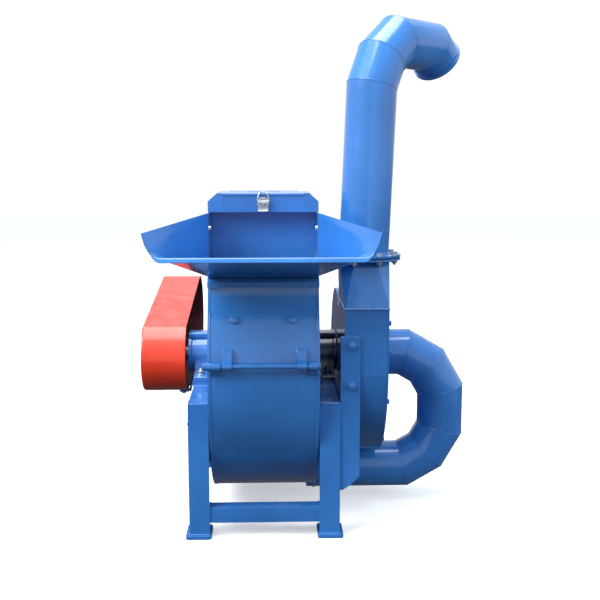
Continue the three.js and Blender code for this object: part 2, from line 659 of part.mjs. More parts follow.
const lidPin = join(rodX(LID_PIN.r, [-101, 101], LID_PIN.y, LID_PIN.z, 12),
  rodX(5, [-104, -101], LID_PIN.y, LID_PIN.z, 12));

add('hopper_throat', hopperThroat(), blue());
add('feed_tray', feedTray(), blue());
add('hopper_wing_left', wing(-1), blue());
add('hopper_wing_right', wing(1), blue());
add('hood', hood(), blue());
add('hood_lid', hoodLid(), blue());
add('lid_hinge_pin', lidPin, zinc());
add('latch_base', latchBase(), zinc());
add('latch_lever', latchLever(), zinc());
add('latch_bail', latchBail(), steel());

// ---------------------------------------------------------------- rotor

const DISC_X = [-118, 0, 118];
const DISC_T = 8;
const HAMMER_LANES = [[-92, -36, 64], [-64, 36, 92]];

function shaft() {
  return turnedX([
    [-352, 0], [-352, SHAFT_R - 2], [-350, SHAFT_R], [-140, SHAFT_R], [-140, 30], [140, 30],
    [140, SHAFT_R], [226, SHAFT_R], [226, 20], [322, 20], [322, 12], [334, 12], [334, 0]], 24);
}

function rotorDisc(x) {
  const hubEnd = x === 0 ? 55 : 20;
  const profile = [
    [x - DISC_T / 2, 30 + GAP], [x - DISC_T / 2, 198], [x + DISC_T / 2, 198],
    [x + DISC_T / 2, 46], [x + (x > 0 ? DISC_T / 2 + 14 : hubEnd), 46],
    [x + (x > 0 ? DISC_T / 2 + 14 : hubEnd), 30 + GAP], [x - DISC_T / 2, 30 + GAP]];
  const pinHoles = [0, 1, 2, 3].map((k) => {
    const { y, z } = pinPlace(k);
    return rodX(PIN_R + GAP, [x - 20, x + 20], y, z, 12);
  });
  return cut(turnedX(profile, 32), ...pinHoles);
}

function pinPlace(k) {
  const angle = Math.PI / 4 + (k * Math.PI) / 2;
  return { y: PIN_CIRCLE * Math.cos(angle), z: SHAFT_Z + PIN_CIRCLE * Math.sin(angle), angle };
}

function hammerPin(k) {
  const { y, z } = pinPlace(k);
  return join(rodX(PIN_R, [-132, 132], y, z, 12), rodX(14, [-137, -131], y, z, 12));
}

function hammer(k, x) {
  const { y, z, angle } = pinPlace(k);
  const bar = block([x - HAMMER_T / 2, x + HAMMER_T / 2], [-28, HAMMER_REACH],
    [-HAMMER_W / 2, HAMMER_W / 2]);
  const eye = rodX(PIN_R + 3 * GAP, [x - 10, x + 10], 0, 0, 12);
  return cut(bar, eye).rotate([THREE.MathUtils.radToDeg(angle), 0, 0]).translate([0, y, z]);
}

add('main_shaft', shaft(), steel());
DISC_X.forEach((x, i) => add(`rotor_disc_${i + 1}`, rotorDisc(x), castIron()));
for (let k = 0; k < 4; k += 1) {
  add(`hammer_pin_${k + 1}`, hammerPin(k), steel());
  HAMMER_LANES[k % 2].forEach((x, lane) => {
    add(`hammer_${k + 1}${'abc'[lane]}`, hammer(k, x), steel());
  });
}

// ---------------------------------------------------------------- bearings and drive

const HOUSING = { x: [168, 210], foot: 15, start: 154, r: 57, bolt: { x: 189, y: 100, r: 7 } };
const HOUSING_END = { left: 230, right: 218 };
const HOUSING_STRIP = { y: 30, z: [500, 522] }; // flat along the top
const BOLT_DRILL = [PAD.top - 5, PAD.top + 30]; // height range drilled for the housing bolts
const BEARING_R = 43;

function bearingHousing(word, side) {
  const x = HOUSING.x.map((value) => side * value);
  const length = [HOUSING.start, HOUSING_END[word]].map((value) => side * value);
  const foot = block(x, [-PAD.y, PAD.y], [PAD.top + GAP, PAD.top + HOUSING.foot]);
  const saddle = block(x, [-HOUSING.r, HOUSING.r], [PAD.top + GAP, SHAFT_Z]);
  const barrel = rodX(HOUSING.r, length, 0, SHAFT_Z, 28);
  const strip = block(length, [-HOUSING_STRIP.y, HOUSING_STRIP.y], HOUSING_STRIP.z);
  const through = [CASING_HALF + 1, HOUSING_END.left + 10].map((value) => side * value);
  const bore = rodX(BEARING_R + GAP, through, 0, SHAFT_Z, 28);
  const bolts = [-HOUSING.bolt.y, HOUSING.bolt.y].map(
    (y) => rodZ(HOUSING.bolt.r, side * HOUSING.bolt.x, y, BOLT_DRILL, 10));
  return cut(join(foot, saddle, barrel, strip), bore, ...bolts);
}

function bearing(side) {
  const ring = rodX(BEARING_R, [side * 172, side * 207], 0, SHAFT_Z, 28);
  return cut(ring, rodX(SHAFT_R + GAP, [side * 160, side * 220], 0, SHAFT_Z, 28));
}

const PULLEY = { x: -346, width: 82, r: 75, root: 62, pitch: 19 }; // four V grooves

function pulley() {
  const bore = SHAFT_R + GAP;
  const { x: start, width, r, root, pitch } = PULLEY;
  const profile = [[start, bore], [start, r]];
  for (let groove = 0; groove < 4; groove += 1) {
    const x = start + 6 + groove * pitch;
    profile.push([x, r], [x + 4, root], [x + 10, root], [x + 14, r]);
  }
  profile.push([start + width, r], [start + width, bore], [start, bore]);
  return turnedX(profile, 28);
}

// Outline of the guard round the two pulleys: a bent front running into a nose arc, and a tail arc.
const NOSE_JOIN = THREE.MathUtils.degToRad(170);
const NOSE_KNEE = 55; // distance from the join to the control point of the front curve
const NOSE_STEP = 0.1; // first step of the nose arc past the join, in radians
const BEND_SHIFT = 0.6; // how far the bend moves back for each millimetre of inset

function guardFront(inset) {
  const a = GUARD_NOSE;
  const r = a.r - inset;
  const bend = new THREE.Vector2(GUARD_BEND.y + BEND_SHIFT * inset, GUARD_BEND.z - inset);
  const low = new THREE.Vector2(a.y + r * Math.cos(NOSE_JOIN), a.z + r * Math.sin(NOSE_JOIN));
  const up = new THREE.Vector2(Math.sin(NOSE_JOIN), -Math.cos(NOSE_JOIN));
  const knee = low.clone().addScaledVector(up, NOSE_KNEE);
  const curve = new THREE.QuadraticBezierCurve(bend, knee, low);
  return curve.getPoints(8).map((point) => [point.x, point.y]);
}

function guardOutline(inset) {
  const [a, b] = [GUARD_NOSE, GUARD_TAIL];
  const span = Math.hypot(b.y - a.y, b.z - a.z);
  const heading = Math.atan2(b.z - a.z, b.y - a.y);
  const spread = Math.acos((a.r - b.r) / span);
  const points = guardFront(inset);
  const arc = (centre, from, to, steps) => {
    for (let i = 0; i <= steps; i += 1) {
      const angle = from + ((to - from) * i) / steps;
      const radius = centre.r - inset;
      points.push([centre.y + radius * Math.cos(angle), centre.z + radius * Math.sin(angle)]);
    }
  };
  arc(a, NOSE_JOIN + NOSE_STEP, heading + 2 * Math.PI - spread, 14);
  arc(b, heading - spread, heading + spread, 28);
  return points;
}

function beltGuard() {
  const outer = plateX(guardOutline(0), GUARD_X);
  return cut(outer, plateX(guardOutline(GUARD_SHEET), [GUARD_X[0] + GUARD_SHEET, GUARD_X[1] + 5]));
}

for (const [word, side] of SIDES) {
  add(`bearing_housing_${word}`, bearingHousing(word, side), side < 0 ? blue() : navy());
  add(`bearing_${word}`, bearing(side), steel());
}
add('mill_pulley', pulley(), castIron());
add('belt_guard', beltGuard(), red());

// ---------------------------------------------------------------- blower

function scrollOutline(inset, top) {
  const points = [];
  const steps = 40;
  for (let i = 0; i <= steps; i += 1) {
    const turn = (300 * i) / steps;
    const radius = SCROLL_R - (SCROLL_TIGHTEN * turn) / 270 - inset;
    const angle = THREE.MathUtils.degToRad(turn);
    points.push([-radius * Math.cos(angle), SHAFT_Z - radius * Math.sin(angle)]);
  }
  points.push([OUTLET_BACK - inset, OUTLET_Z - 8], [OUTLET_BACK - inset, top]);
  points.push([-SCROLL_R + inset, top]);
  return points;
}

function fanHousing() {
  const x = [FAN_X[0], FAN_X[1] - FAN_SHEET - GAP];
  const outer = plateX(scrollOutline(0, OUTLET_Z), x);
  const inner = plateX(scrollOutline(FAN_SHEET, OUTLET_Z + 5), [x[0] + FAN_SHEET, x[1] + 5]);
  return cut(outer, inner, rodX(SHAFT_R + 4, [x[0] - 5, x[0] + 10], 0, SHAFT_Z, 24));
}

const EYE_R = DUCT_R - DUCT_WALL - GAP;

function fanInletPlate() {
  const x = [FAN_X[1] - FAN_SHEET, FAN_X[1]];
  const plate = plateX(scrollOutline(0, OUTLET_Z), x);
  const collar = rodX(EYE_R, [x[0], FAN_X[1] + 26], 0, SHAFT_Z, DUCT_SIDES);
  return cut(join(plate, collar), rodX(EYE_R - DUCT_WALL, [x[0] - 1, FAN_X[1] + 30], 0, SHAFT_Z, DUCT_SIDES));
}

const IMPELLER = { x: [232, 322], r: 166, plate: 4, hub: 40, hubEnd: 300, blade: 5 };

function fanImpeller() {
  const { x, r, plate, hub, hubEnd, blade } = IMPELLER;
  const bore = 20 + GAP;
  const back = turnedX([
    [x[0], bore], [x[0], r - 4], [x[0] + plate, r - 4], [x[0] + plate, hub],
    [hubEnd, hub], [hubEnd, bore], [x[0], bore]], 28);
  const blades = [0, 1, 2, 3, 4, 5].map((k) => block([x[0] + 2, x[1]], [hub - 4, r], [-blade / 2, blade / 2])
    .rotate([60 * k, 0, 0]).translate([0, 0, SHAFT_Z]));
  return join(back, ...blades);
}

const SUPPORT = { outer: 263, bottom: 134, top: 566, bolts: [541, 430], boltX: 240, holeR: 6.5 };

function supportPlate() {
  const y = [-SCROLL_R - GAP - 8, -SCROLL_R - GAP];
  const [inner, outer] = [FRAME_OUT + GAP, SUPPORT.outer];
  const plate = plateY([
    [inner, SUPPORT.bottom], [inner + 8, SUPPORT.bottom], [outer - 21, SUPPORT.bottom + 17],
    [outer, SUPPORT.bottom + 39], [outer, SUPPORT.top], [inner, SUPPORT.top]], y);
  const holes = SUPPORT.bolts.map((z) => rodY(SUPPORT.holeR, SUPPORT.boltX, [y[0] - 2, y[1] + 2], z, 10));
  return cut(plate, ...holes);
}

// Loft from the rectangular blower outlet to an octagon: four flat sides and four corner triangles.
function squareToOctagon(rectX, rectY, apothem, z) {
  const corners = [[rectX[1], rectY[1]], [rectX[0], rectY[1]], [rectX[0], rectY[0]], [rectX[1], rectY[0]]];
  const positions = corners.flatMap(([x, y]) => [x, y, z[0]]);
  const reach = apothem / Math.cos(Math.PI / 8);
  for (let i = 0; i < 8; i += 1) {
    const angle = (Math.PI / 4) * (i + 0.5);
    positions.push(DUCT.x + reach * Math.cos(angle), DUCT.y + reach * Math.sin(angle), z[1]);
  }
  const index = [0, 2, 1, 0, 3, 2];
  for (let corner = 0; corner < 4; corner += 1) {
    const first = 4 + 2 * corner;
    const following = 4 + ((2 * corner + 2) % 8);
    index.push(corner, first + 1, first);
    index.push(corner, (corner + 1) % 4, following, corner, following, first + 1);
  }
  for (let i = 1; i < 7; i += 1) {
    index.push(4, 4 + i, 5 + i);
  }
  const geometry = new THREE.BufferGeometry();
  geometry.setAttribute('position', new THREE.Float32BufferAttribute(positions, 3));
  geometry.setIndex(index);
  return toSolid(geometry);
}

const FLANGE_BOLTS = 8;
const FLANGE_PCD_R = 90;

function boltRing(z) {
  const holes = [];
  for (let k = 0; k < FLANGE_BOLTS; k += 1) {
    const t = ((k + 0.5) * 2 * Math.PI) / FLANGE_BOLTS;
    holes.push(rodZ(5.5, DUCT.x + FLANGE_PCD_R * Math.cos(t), DUCT.y + FLANGE_PCD_R * Math.sin(t), z, 6));
  }
  return holes;
}

function outletTransition() {
  const z = [OUTLET_Z + GAP, DUCT_FLANGE_Z];
  const outer = squareToOctagon(FAN_X, [-SCROLL_R, OUTLET_BACK], DUCT_R, z);
  const inner = squareToOctagon([FAN_X[0] + 3, FAN_X[1] - 3], [-SCROLL_R + 3, OUTLET_BACK - 3],
    DUCT_R - DUCT_WALL, z);
  const bore = rodZ(DUCT_R - DUCT_WALL, DUCT.x, DUCT.y, [z[1] - 1, z[1] + 5], DUCT_SIDES);
  const mouth = block([FAN_X[0] + 3, FAN_X[1] - 3], [-SCROLL_R + 3, OUTLET_BACK - 3], [z[0] - 5, z[0] + 1]);
  const flange = rodZ(DUCT_FLANGE_R, DUCT.x, DUCT.y, [z[1] - DUCT_FLANGE_T, z[1]], DUCT_SIDES);
  return cut(join(outer, flange), inner, bore, mouth, ...boltRing([z[1] - 20, z[1] + 5]));
}

const GASKET_T = 3;
const PIPE_Z = DUCT_FLANGE_Z + GAP + GASKET_T + GAP;

function gasket() {
  const z = [DUCT_FLANGE_Z + GAP, DUCT_FLANGE_Z + GAP + GASKET_T];
  const ring = cut(rodZ(DUCT_FLANGE_R - 2, DUCT.x, DUCT.y, z, DUCT_SIDES),
    rodZ(DUCT_R, DUCT.x, DUCT.y, [z[0] - 1, z[1] + 1], DUCT_SIDES));
  return cut(ring, ...boltRing([z[0] - 1, z[1] + 1]));
}

const PIPE_LEAN = THREE.MathUtils.degToRad(2.3);
const ELBOW_Z = 1241;
const ELBOW_HEADING = THREE.MathUtils.degToRad(48);
// Total turn in degrees and length of each mitred piece of the elbow and its turned down spout.
const ELBOW_PIECES = [[25, 87], [52, 87], [88, 168]];
const SPOUT = [124, 50];
const SPOUT_RING = { r: DUCT_R + 4, length: 12 };

function dischargePath(extra) {
  const up = new THREE.Vector3(Math.sin(PIPE_LEAN), 0, Math.cos(PIPE_LEAN));
  const out = new THREE.Vector3(Math.cos(ELBOW_HEADING), Math.sin(ELBOW_HEADING), 0);
  out.addScaledVector(up, -out.dot(up)).normalize();
  const foot = new THREE.Vector3(DUCT.x, DUCT.y, PIPE_Z).addScaledVector(up, -extra);
  const path = [foot];
  path.push(new THREE.Vector3(DUCT.x, DUCT.y, PIPE_Z).addScaledVector(up, (ELBOW_Z - PIPE_Z) / up.z));
  for (const [turn, length] of [...ELBOW_PIECES, [SPOUT[0], SPOUT[1] + extra]]) {
    const angle = THREE.MathUtils.degToRad(turn);
    const dir = up.clone().multiplyScalar(Math.cos(angle)).addScaledVector(out, Math.sin(angle));
    path.push(path[path.length - 1].clone().addScaledVector(dir, length));
  }
  return path;
}

function dischargePipe() {
  const path = dischargePath(0);
  const tube = mitredBar(dischargePath(SPOUT_RING.length), DUCT_R, DUCT_SIDES);
  const bore = mitredBar(dischargePath(30), DUCT_R - DUCT_WALL, DUCT_SIDES);
  const flange = rodZ(DUCT_FLANGE_R, DUCT.x, DUCT.y, [PIPE_Z, PIPE_Z + DUCT_FLANGE_T], DUCT_SIDES);
  const end = path[path.length - 1];
  const back = end.clone().sub(path[path.length - 2]).normalize();
  const ringEnd = end.clone().addScaledVector(back, SPOUT_RING.length);
  const ring = mitredBar([end, ringEnd], SPOUT_RING.r, DUCT_SIDES);
  const below = block([0, 600], [-500, 200], [PIPE_Z - 200, PIPE_Z]);
  const holes = boltRing([PIPE_Z - 5, PIPE_Z + 20]);
  return cut(join(tube, flange, ring), bore, below, ...holes);
}

function suctionBend() {
  const x = new THREE.Vector3(1, 0, 0);
  const down = new THREE.Vector3(0, 0, -1);
  const top = new THREE.Vector3(LOOP_X - LOOP_R, 0, SHAFT_Z);
  const low = new THREE.Vector3(LOOP_X, 0, LOOP_LOW_Z + LOOP_R);
  const path = (extra) => [
    new THREE.Vector3(FAN_X[1] + GAP - extra, 0, SHAFT_Z),
    ...mitreCorners(top, x, down, LOOP_R),
    ...mitreCorners(low, down, x.clone().negate(), LOOP_R),
    new THREE.Vector3(SPIGOT.x[1] + GAP - extra, 0, LOOP_LOW_Z)];
  const bore = mitredBar(path(5), DUCT_R - DUCT_WALL, DUCT_SIDES);
  return cut(mitredBar(path(0), DUCT_R, DUCT_SIDES), bore);
}

add('fan_housing', fanHousing(), blue());
add('fan_inlet_plate', fanInletPlate(), blue());
add('fan_impeller', fanImpeller(), castIron());
add('fan_support_plate', supportPlate(), blue());
add('outlet_transition', outletTransition(), blue());
add('duct_gasket', gasket(), rubber());
add('discharge_pipe', dischargePipe(), blue());
add('suction_bend', suctionBend(), blue());

// ---------------------------------------------------------------- place on the origin

mill.updateMatrixWorld(true);
const bounds = new THREE.Box3().setFromObject(mill);
const centre = bounds.getCenter(new THREE.Vector3());
mill.position.set(-centre.x, -centre.y, -bounds.min.z);

export default mill;
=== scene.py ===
"""Visual model of the hammer mill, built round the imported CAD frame.

Sizes are millimetres about the mill's own axes, as in the CAD source: x runs along the rotor
shaft from the belt guard to the blower, y points away from the feeding side, z is up from the
floor. place() turns them into metres in the frame's own axes.
"""

import math

import bmesh
import bpy
from mathutils import Matrix, Vector, noise


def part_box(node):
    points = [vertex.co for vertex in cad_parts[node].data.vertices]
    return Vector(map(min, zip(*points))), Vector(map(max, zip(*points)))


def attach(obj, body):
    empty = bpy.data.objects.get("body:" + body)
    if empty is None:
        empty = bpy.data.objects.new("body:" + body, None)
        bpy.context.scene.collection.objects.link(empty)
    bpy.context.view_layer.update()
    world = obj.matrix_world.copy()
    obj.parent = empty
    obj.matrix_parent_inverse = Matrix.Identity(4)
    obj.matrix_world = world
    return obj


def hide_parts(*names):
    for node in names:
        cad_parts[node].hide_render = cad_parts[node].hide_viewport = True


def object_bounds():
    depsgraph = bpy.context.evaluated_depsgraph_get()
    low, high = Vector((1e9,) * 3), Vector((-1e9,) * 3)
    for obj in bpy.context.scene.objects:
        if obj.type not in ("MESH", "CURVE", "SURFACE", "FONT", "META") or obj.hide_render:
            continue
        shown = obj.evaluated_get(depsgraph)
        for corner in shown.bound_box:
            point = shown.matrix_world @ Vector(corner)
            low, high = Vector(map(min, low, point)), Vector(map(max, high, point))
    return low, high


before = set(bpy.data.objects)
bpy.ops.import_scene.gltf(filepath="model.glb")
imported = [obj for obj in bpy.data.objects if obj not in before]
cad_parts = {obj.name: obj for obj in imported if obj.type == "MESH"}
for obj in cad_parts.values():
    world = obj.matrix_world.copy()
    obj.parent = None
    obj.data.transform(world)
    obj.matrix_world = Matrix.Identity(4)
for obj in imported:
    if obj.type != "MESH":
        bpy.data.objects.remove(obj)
cad_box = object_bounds()

# ------------------------------------------------------------------ driving dimensions

MM = 0.001
GAP = 0.3
SHAFT_Z = 456
SPLIT_Z = 502
CASING_HALF = 150
DRUM_R = 395
SHELL = 5
SIDE_PLATE = 6
PLATE_PROUD = 1.2  # how far side plates stand out past the shell they are welded to

BEAM_TOP = 383
FRAME_HALF_Y = 347
FRAME_OUT = 209
ANGLE = 56
ANGLE_T = 6
STRETCHER_Z = (44, 88)
FOOT_X = (148, 219)
FOOT_Y = (266, 356)
FOOT_T = 10
PAD_X = (166, 212)
PAD_Y = 130
PAD_TOP = 396

HINGE_Y = -414
HINGE_ROD_R = 6.8
KNUCKLE_R = 11
LOWER_KNUCKLES = ((-154, -113, -142), (119, 144, 119))
UPPER_KNUCKLES = ((-109, -84, -109), (88, 114, 88))
LINER_BOLT = (78, 618)
SWING_X = 92
SWING_Y = 414
SWING_Z = 444
REAR_FLANGE = (380, 426)

THROAT_FRONT = -328
THROAT_BACK = -213
THROAT_TOP = 900
FLANGE_FRONT_Z = 716
FLANGE_SLOPE = 0.62
BOX_BACK = -64
SHEET = 3
LIP_Y = -560
LIP_Z = 805
LIP_DEPTH = 14
TRAY_BACK_Z = 733

HOOD_HALF = 152
HOOD_TOP = 949
HOOD_FRONT = -262
HOOD_BACK = -62
HOOD_SHEET = 2.5
SHOULDER = (130, 929)
CREASE = (113, 8)
LID_HALF = 129
LID_PIN = (-54.5, 947)
LEVER_PIN = (-268.8, 928)
BAIL_PIN = (-270.8, 919.5)

SHAFT_R = 22.5
SCREEN_R = 318
PIN_CIRCLE = 170
PIN_R = 9
DISC_X = (-118, 0, 118)
HAMMER_LANES = ((-92, -36, 64), (-64, 36, 92))
BEARING_R = 43

FAN_X = (220, 342)
FAN_SHEET = 4
SCROLL_R = 332
SCROLL_TIGHTEN = 140
OUTLET_BACK = -113
OUTLET_Z = 640
DUCT_R = 70
DUCT_WALL = 3
DUCT_AXIS = (281, -211)
DUCT_FLANGE_Z = 772
DUCT_FLANGE_R = 104
PIPE_Z = 775.6
PIPE_LEAN = 2.3
ELBOW_Z = 1241
ELBOW_HEADING = 48
ELBOW_PIECES = ((25, 87), (52, 87), (88, 168), (124, 62))
LOOP_X = 545
LOOP_LOW_Z = 99
LOOP_R = 160
SPIGOT_X = (128, 214)

GUARD_X = (-368, -236)
GUARD_SHEET = 2.5
GUARD_NOSE = (0, 443, 101)
GUARD_TAIL = (540, 478, 150)
PULLEY = (-346, 82, 75, 62)

# The point of the frame's axes that stands under the rotor shaft's middle.
screen_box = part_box("screen")
shaft_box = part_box("main_shaft")
DATUM_X = (screen_box[0].x + screen_box[1].x) / 2
DATUM_Y = (shaft_box[0].y + shaft_box[1].y) / 2


def place(point):
    x, y, z = point
    return Vector((DATUM_X + x * MM, DATUM_Y + y * MM, z * MM))


# ------------------------------------------------------------------ outlines

def arc(centre, radius, start, end, steps):
    """Points of a circle from start to end degrees, measured from the first axis to the second."""
    points = []
    for i in range(steps + 1):
        angle = math.radians(start + (end - start) * i / steps)
        points.append((centre[0] + radius * math.cos(angle), centre[1] + radius * math.sin(angle)))
    return points


def rounded(corners):
    """A closed outline from (u, v, radius) corners, each turned with an arc."""
    outline = []
    count = len(corners)
    for i, (u, v, radius) in enumerate(corners):
        corner = Vector((u, v))
        if radius <= 0:
            outline.append((u, v))
            continue
        back = (Vector(corners[i - 1][:2]) - corner).normalized()
        ahead = (Vector(corners[(i + 1) % count][:2]) - corner).normalized()
        half = back.angle(ahead) / 2
        centre = corner + (back + ahead).normalized() * (radius / math.sin(half))
        first = corner + back * (radius / math.tan(half)) - centre
        last = corner + ahead * (radius / math.tan(half)) - centre
        start = math.atan2(first.y, first.x)
        turn = (math.atan2(last.y, last.x) - start + math.pi) % (2 * math.pi) - math.pi
        steps = max(2, math.ceil(abs(turn) / math.radians(15)))
        for k in range(steps + 1):
            angle = start + turn * k / steps
            outline.append((centre.x + radius * math.cos(angle), centre.y + radius * math.sin(angle)))
    return outline


def rectangle(u, v, radius=0):
    return rounded([(u[0], v[0], radius), (u[1], v[0], radius), (u[1], v[1], radius), (u[0], v[1], radius)])


# ------------------------------------------------------------------ shapes: (points, faces)

AXES = {
    "x": lambda u, v, w: (w, u, v),
    "y": lambda u, v, w: (u, w, v),
    "z": lambda u, v, w: (u, v, w),
}


def prism(outline, span, axis):
    """An outline given thickness along an axis: x takes (y, z) points, y (x, z) and z (x, y)."""
    put = AXES[axis]
    n = len(outline)
    points = [put(u, v, w) for w in span for u, v in outline]
    faces = [list(range(n)), list(range(n, 2 * n))]
    faces += [[i, (i + 1) % n, n + (i + 1) % n, n + i] for i in range(n)]
    return points, faces


def box(x, y, z):
    return prism([(x[0], y[0]), (x[1], y[0]), (x[1], y[1]), (x[0], y[1])], z, "z")


def plate(outline, holes, span, axis):
    """A prism with round holes, each (u, v, radius)."""
    put = AXES[axis]
    bm = bmesh.new()
    loops = [outline]
    for u, v, radius in holes:
        loops.append(arc((u, v), radius, 0, 360 * (1 - 1 / 36), 35))
    for loop in loops:
        verts = [bm.verts.new(put(u, v, span[0])) for u, v in loop]
        for i, vert in enumerate(verts):
            bm.edges.new((vert, verts[(i + 1) % len(verts)]))
    bmesh.ops.triangle_fill(bm, use_beauty=True, use_dissolve=False, edges=bm.edges[:])
    grown = bmesh.ops.extrude_face_region(bm, geom=bm.faces[:])
    shift = Vector(put(0, 0, span[1] - span[0]))
    bmesh.ops.translate(bm, vec=shift, verts=[v for v in grown["geom"] if isinstance(v, bmesh.types.BMVert)])
    bm.verts.index_update()
    shape = [tuple(v.co) for v in bm.verts], [[v.index for v in f.verts] for f in bm.faces]
    bm.free()
    return shape


def turned(profile, sides=64):
    """A closed profile of (distance along z, radius) turned about the z axis."""
    points, rows = [], []
    for along, radius in profile:
        if radius < 1e-6:
            rows.append([len(points)] * sides)
            points.append((0, 0, along))
            continue
        rows.append(list(range(len(points), len(points) + sides)))
        for i in range(sides):
            angle = 2 * math.pi * i / sides
            points.append((radius * math.cos(angle), radius * math.sin(angle), along))
    faces = []
    for a, b in zip(rows, rows[1:] + rows[:1]):
        for i in range(sides):
            j = (i + 1) % sides
            face = list(dict.fromkeys([a[i], a[j], b[j], b[i]]))
            if len(face) > 2:
                faces.append(face)
    return points, faces


def tube(outer, inner, span, sides=64):
    return turned([(span[0], inner), (span[0], outer), (span[1], outer), (span[1], inner)], sides)


def rod(radius, span, sides=32, chamfer=0.6):
    c = min(chamfer, radius / 3)
    return turned([
        (span[0], 0), (span[0], radius - c), (span[0] + c, radius),
        (span[1] - c, radius), (span[1], radius - c), (span[1], 0)], sides)


def moved(shape, matrix):
    points, faces = shape
    return [matrix @ Vector(p) for p in points], faces


def aim(origin, direction):
    """The matrix that stands a shape's z axis on origin, pointing along direction."""
    turn = Vector(direction).to_track_quat("Z", "Y").to_matrix().to_4x4()
    return Matrix.Translation(Vector(origin)) @ turn


def along_x(shape, y=0, z=SHAFT_Z):
    return moved(shape, aim((0, y, z), (1, 0, 0)))


def grid(rows, closed=False):
    """The faces between rows of points; closed joins each row's end to its start."""
    width = len(rows[0])
    points = [p for row in rows for p in row]
    faces = []
    for r in range(len(rows) - 1):
        for i in range(width if closed else width - 1):
            j = (i + 1) % width
            faces.append([r * width + i, r * width + j, (r + 1) * width + j, (r + 1) * width + i])
    return points, faces


def sweep(path, radius, sides=8, closed=False):
    """A round bar along a path of points; radius is a number or a function of the point's index."""
    path = [Vector(p) for p in path]
    count = len(path)
    size = radius if callable(radius) else lambda i: radius
    rings = []
    normal = None
    for i, p in enumerate(path):
        before = path[i - 1] if i or closed else p
        after = path[(i + 1) % count] if i + 1 < count or closed else p
        tangent = (after - before).normalized()
        if normal is None:
            normal = tangent.orthogonal().normalized()
        normal = (normal - tangent * normal.dot(tangent)).normalized()
        side = tangent.cross(normal)
        ring = []
        for k in range(sides):
            angle = 2 * math.pi * k / sides
            ring.append(p + (normal * math.cos(angle) + side * math.sin(angle)) * size(i))
        rings.append(ring)
    if closed:
        rings.append(rings[0])
    points, faces = grid(rings, closed=True)
    if not closed:
        faces += [list(range(sides)), list(range(len(points) - sides, len(points)))]
    return points, faces


def resampled(path, spacing, closed=False):
    path = [Vector(p) for p in path]
    if closed:
        path.append(path[0])
    lengths = [0.0]
    for a, b in zip(path, path[1:]):
        lengths.append(lengths[-1] + (b - a).length)
    count = max(2, round(lengths[-1] / spacing))
    result, k = [], 0
    for i in range(count if closed else count + 1):
        want = lengths[-1] * i / count
        while k < len(lengths) - 2 and lengths[k + 1] < want:
            k += 1
        share = (want - lengths[k]) / max(1e-9, lengths[k + 1] - lengths[k])
        result.append(path[k].lerp(path[k + 1], share))
    return result


BEAD_STEP = 2.2


def bead(path, width=4.0, closed=False):
    """A weld bead: a low round run with the ripples left by the moving weld pool."""
    points = resampled(path, BEAD_STEP, closed)

    def size(i):
        ripple = 0.10 * math.sin(i * 2.1) + 0.16 * noise.noise(points[i] * 0.11)
        return width / 2 * (1 + ripple)

    return sweep(points, size, 7, closed)


def hex_head(across, height):
    """A hexagon head standing on z = 0, its corners chamfered as turned stock is."""
    ridge = across / 2 * 0.94
    foot, shoulder, crown = [], [], []
    for i in range(24):
        angle = math.radians(15 * i)
        reach = across / 2 / math.cos((angle + math.pi / 6) % (math.pi / 3) - math.pi / 6)
        c, s = math.cos(angle), math.sin(angle)
        foot.append((reach * c, reach * s, 0))
        shoulder.append((reach * c, reach * s, height - (reach - ridge) * 0.45))
        crown.append((ridge * c, ridge * s, height))
    points, faces = grid([foot, shoulder, crown], closed=True)
    return points, faces + [list(range(24)), list(range(48, 72))]


def mitred_rings(path, radius, sides=64):
    """The ring of points at each corner of a bent round duct."""
    path = [Vector(p) for p in path]
    dirs = [(b - a).normalized() for a, b in zip(path, path[1:])]
    side = Vector((0, 1, 0)).cross(dirs[0]).normalized()
    up = dirs[0].cross(side)
    ring = []
    for i in range(sides):
        angle = 2 * math.pi * i / sides
        ring.append(path[0] + side * math.cos(angle) * radius + up * math.sin(angle) * radius)
    rings = [ring]
    for k in range(1, len(path)):
        along = dirs[k - 1]
        normal = (along + (dirs[k] if k < len(dirs) else along)).normalized()
        ring = [p + along * ((path[k] - p).dot(normal) / along.dot(normal)) for p in ring]
        rings.append(ring)
    return rings


def duct(path, radius, wall):
    """A bent sheet duct of mitred pieces, open at both ends."""
    outer = mitred_rings(path, radius)
    inner = mitred_rings(path, radius - wall)
    return grid(outer + inner[::-1] + outer[:1], closed=True)


# ------------------------------------------------------------------ pieces

class Form:
    """Shapes gathered into one piece."""

    def __init__(self, *shapes):
        self.points, self.faces = [], []
        self.add(*shapes)

    def add(self, *shapes):
        for points, faces in shapes:
            first = len(self.points)
            self.points += points
            self.faces += [[first + i for i in face] for face in faces]
        return self


def piece(name, form, body, finish, stands_for=(), bevel=0.0, crease=32):
    """Makes one named object that rides on a body. finish is (material, record slot)."""
    material, slot = finish
    mesh = bpy.data.meshes.new(name)
    mesh.from_pydata([place(p) for p in form.points], [], form.faces)
    bm = bmesh.new()
    bm.from_mesh(mesh)
    bmesh.ops.recalc_face_normals(bm, faces=bm.faces)
    bm.to_mesh(mesh)
    bm.free()
    mesh.shade_smooth()
    mesh.set_sharp_from_angle(angle=math.radians(crease))
    mesh.materials.append(material)
    obj = bpy.data.objects.new(name, mesh)
    bpy.context.scene.collection.objects.link(obj)
    if bevel:
        edges = obj.modifiers.new("edges", "BEVEL")
        edges.width = bevel * MM
        edges.segments = 2
        edges.limit_method = "ANGLE"
        edges.angle_limit = math.radians(crease)
        edges.harden_normals = True
    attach(obj, body)
    if stands_for:
        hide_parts(*stands_for)
    return obj


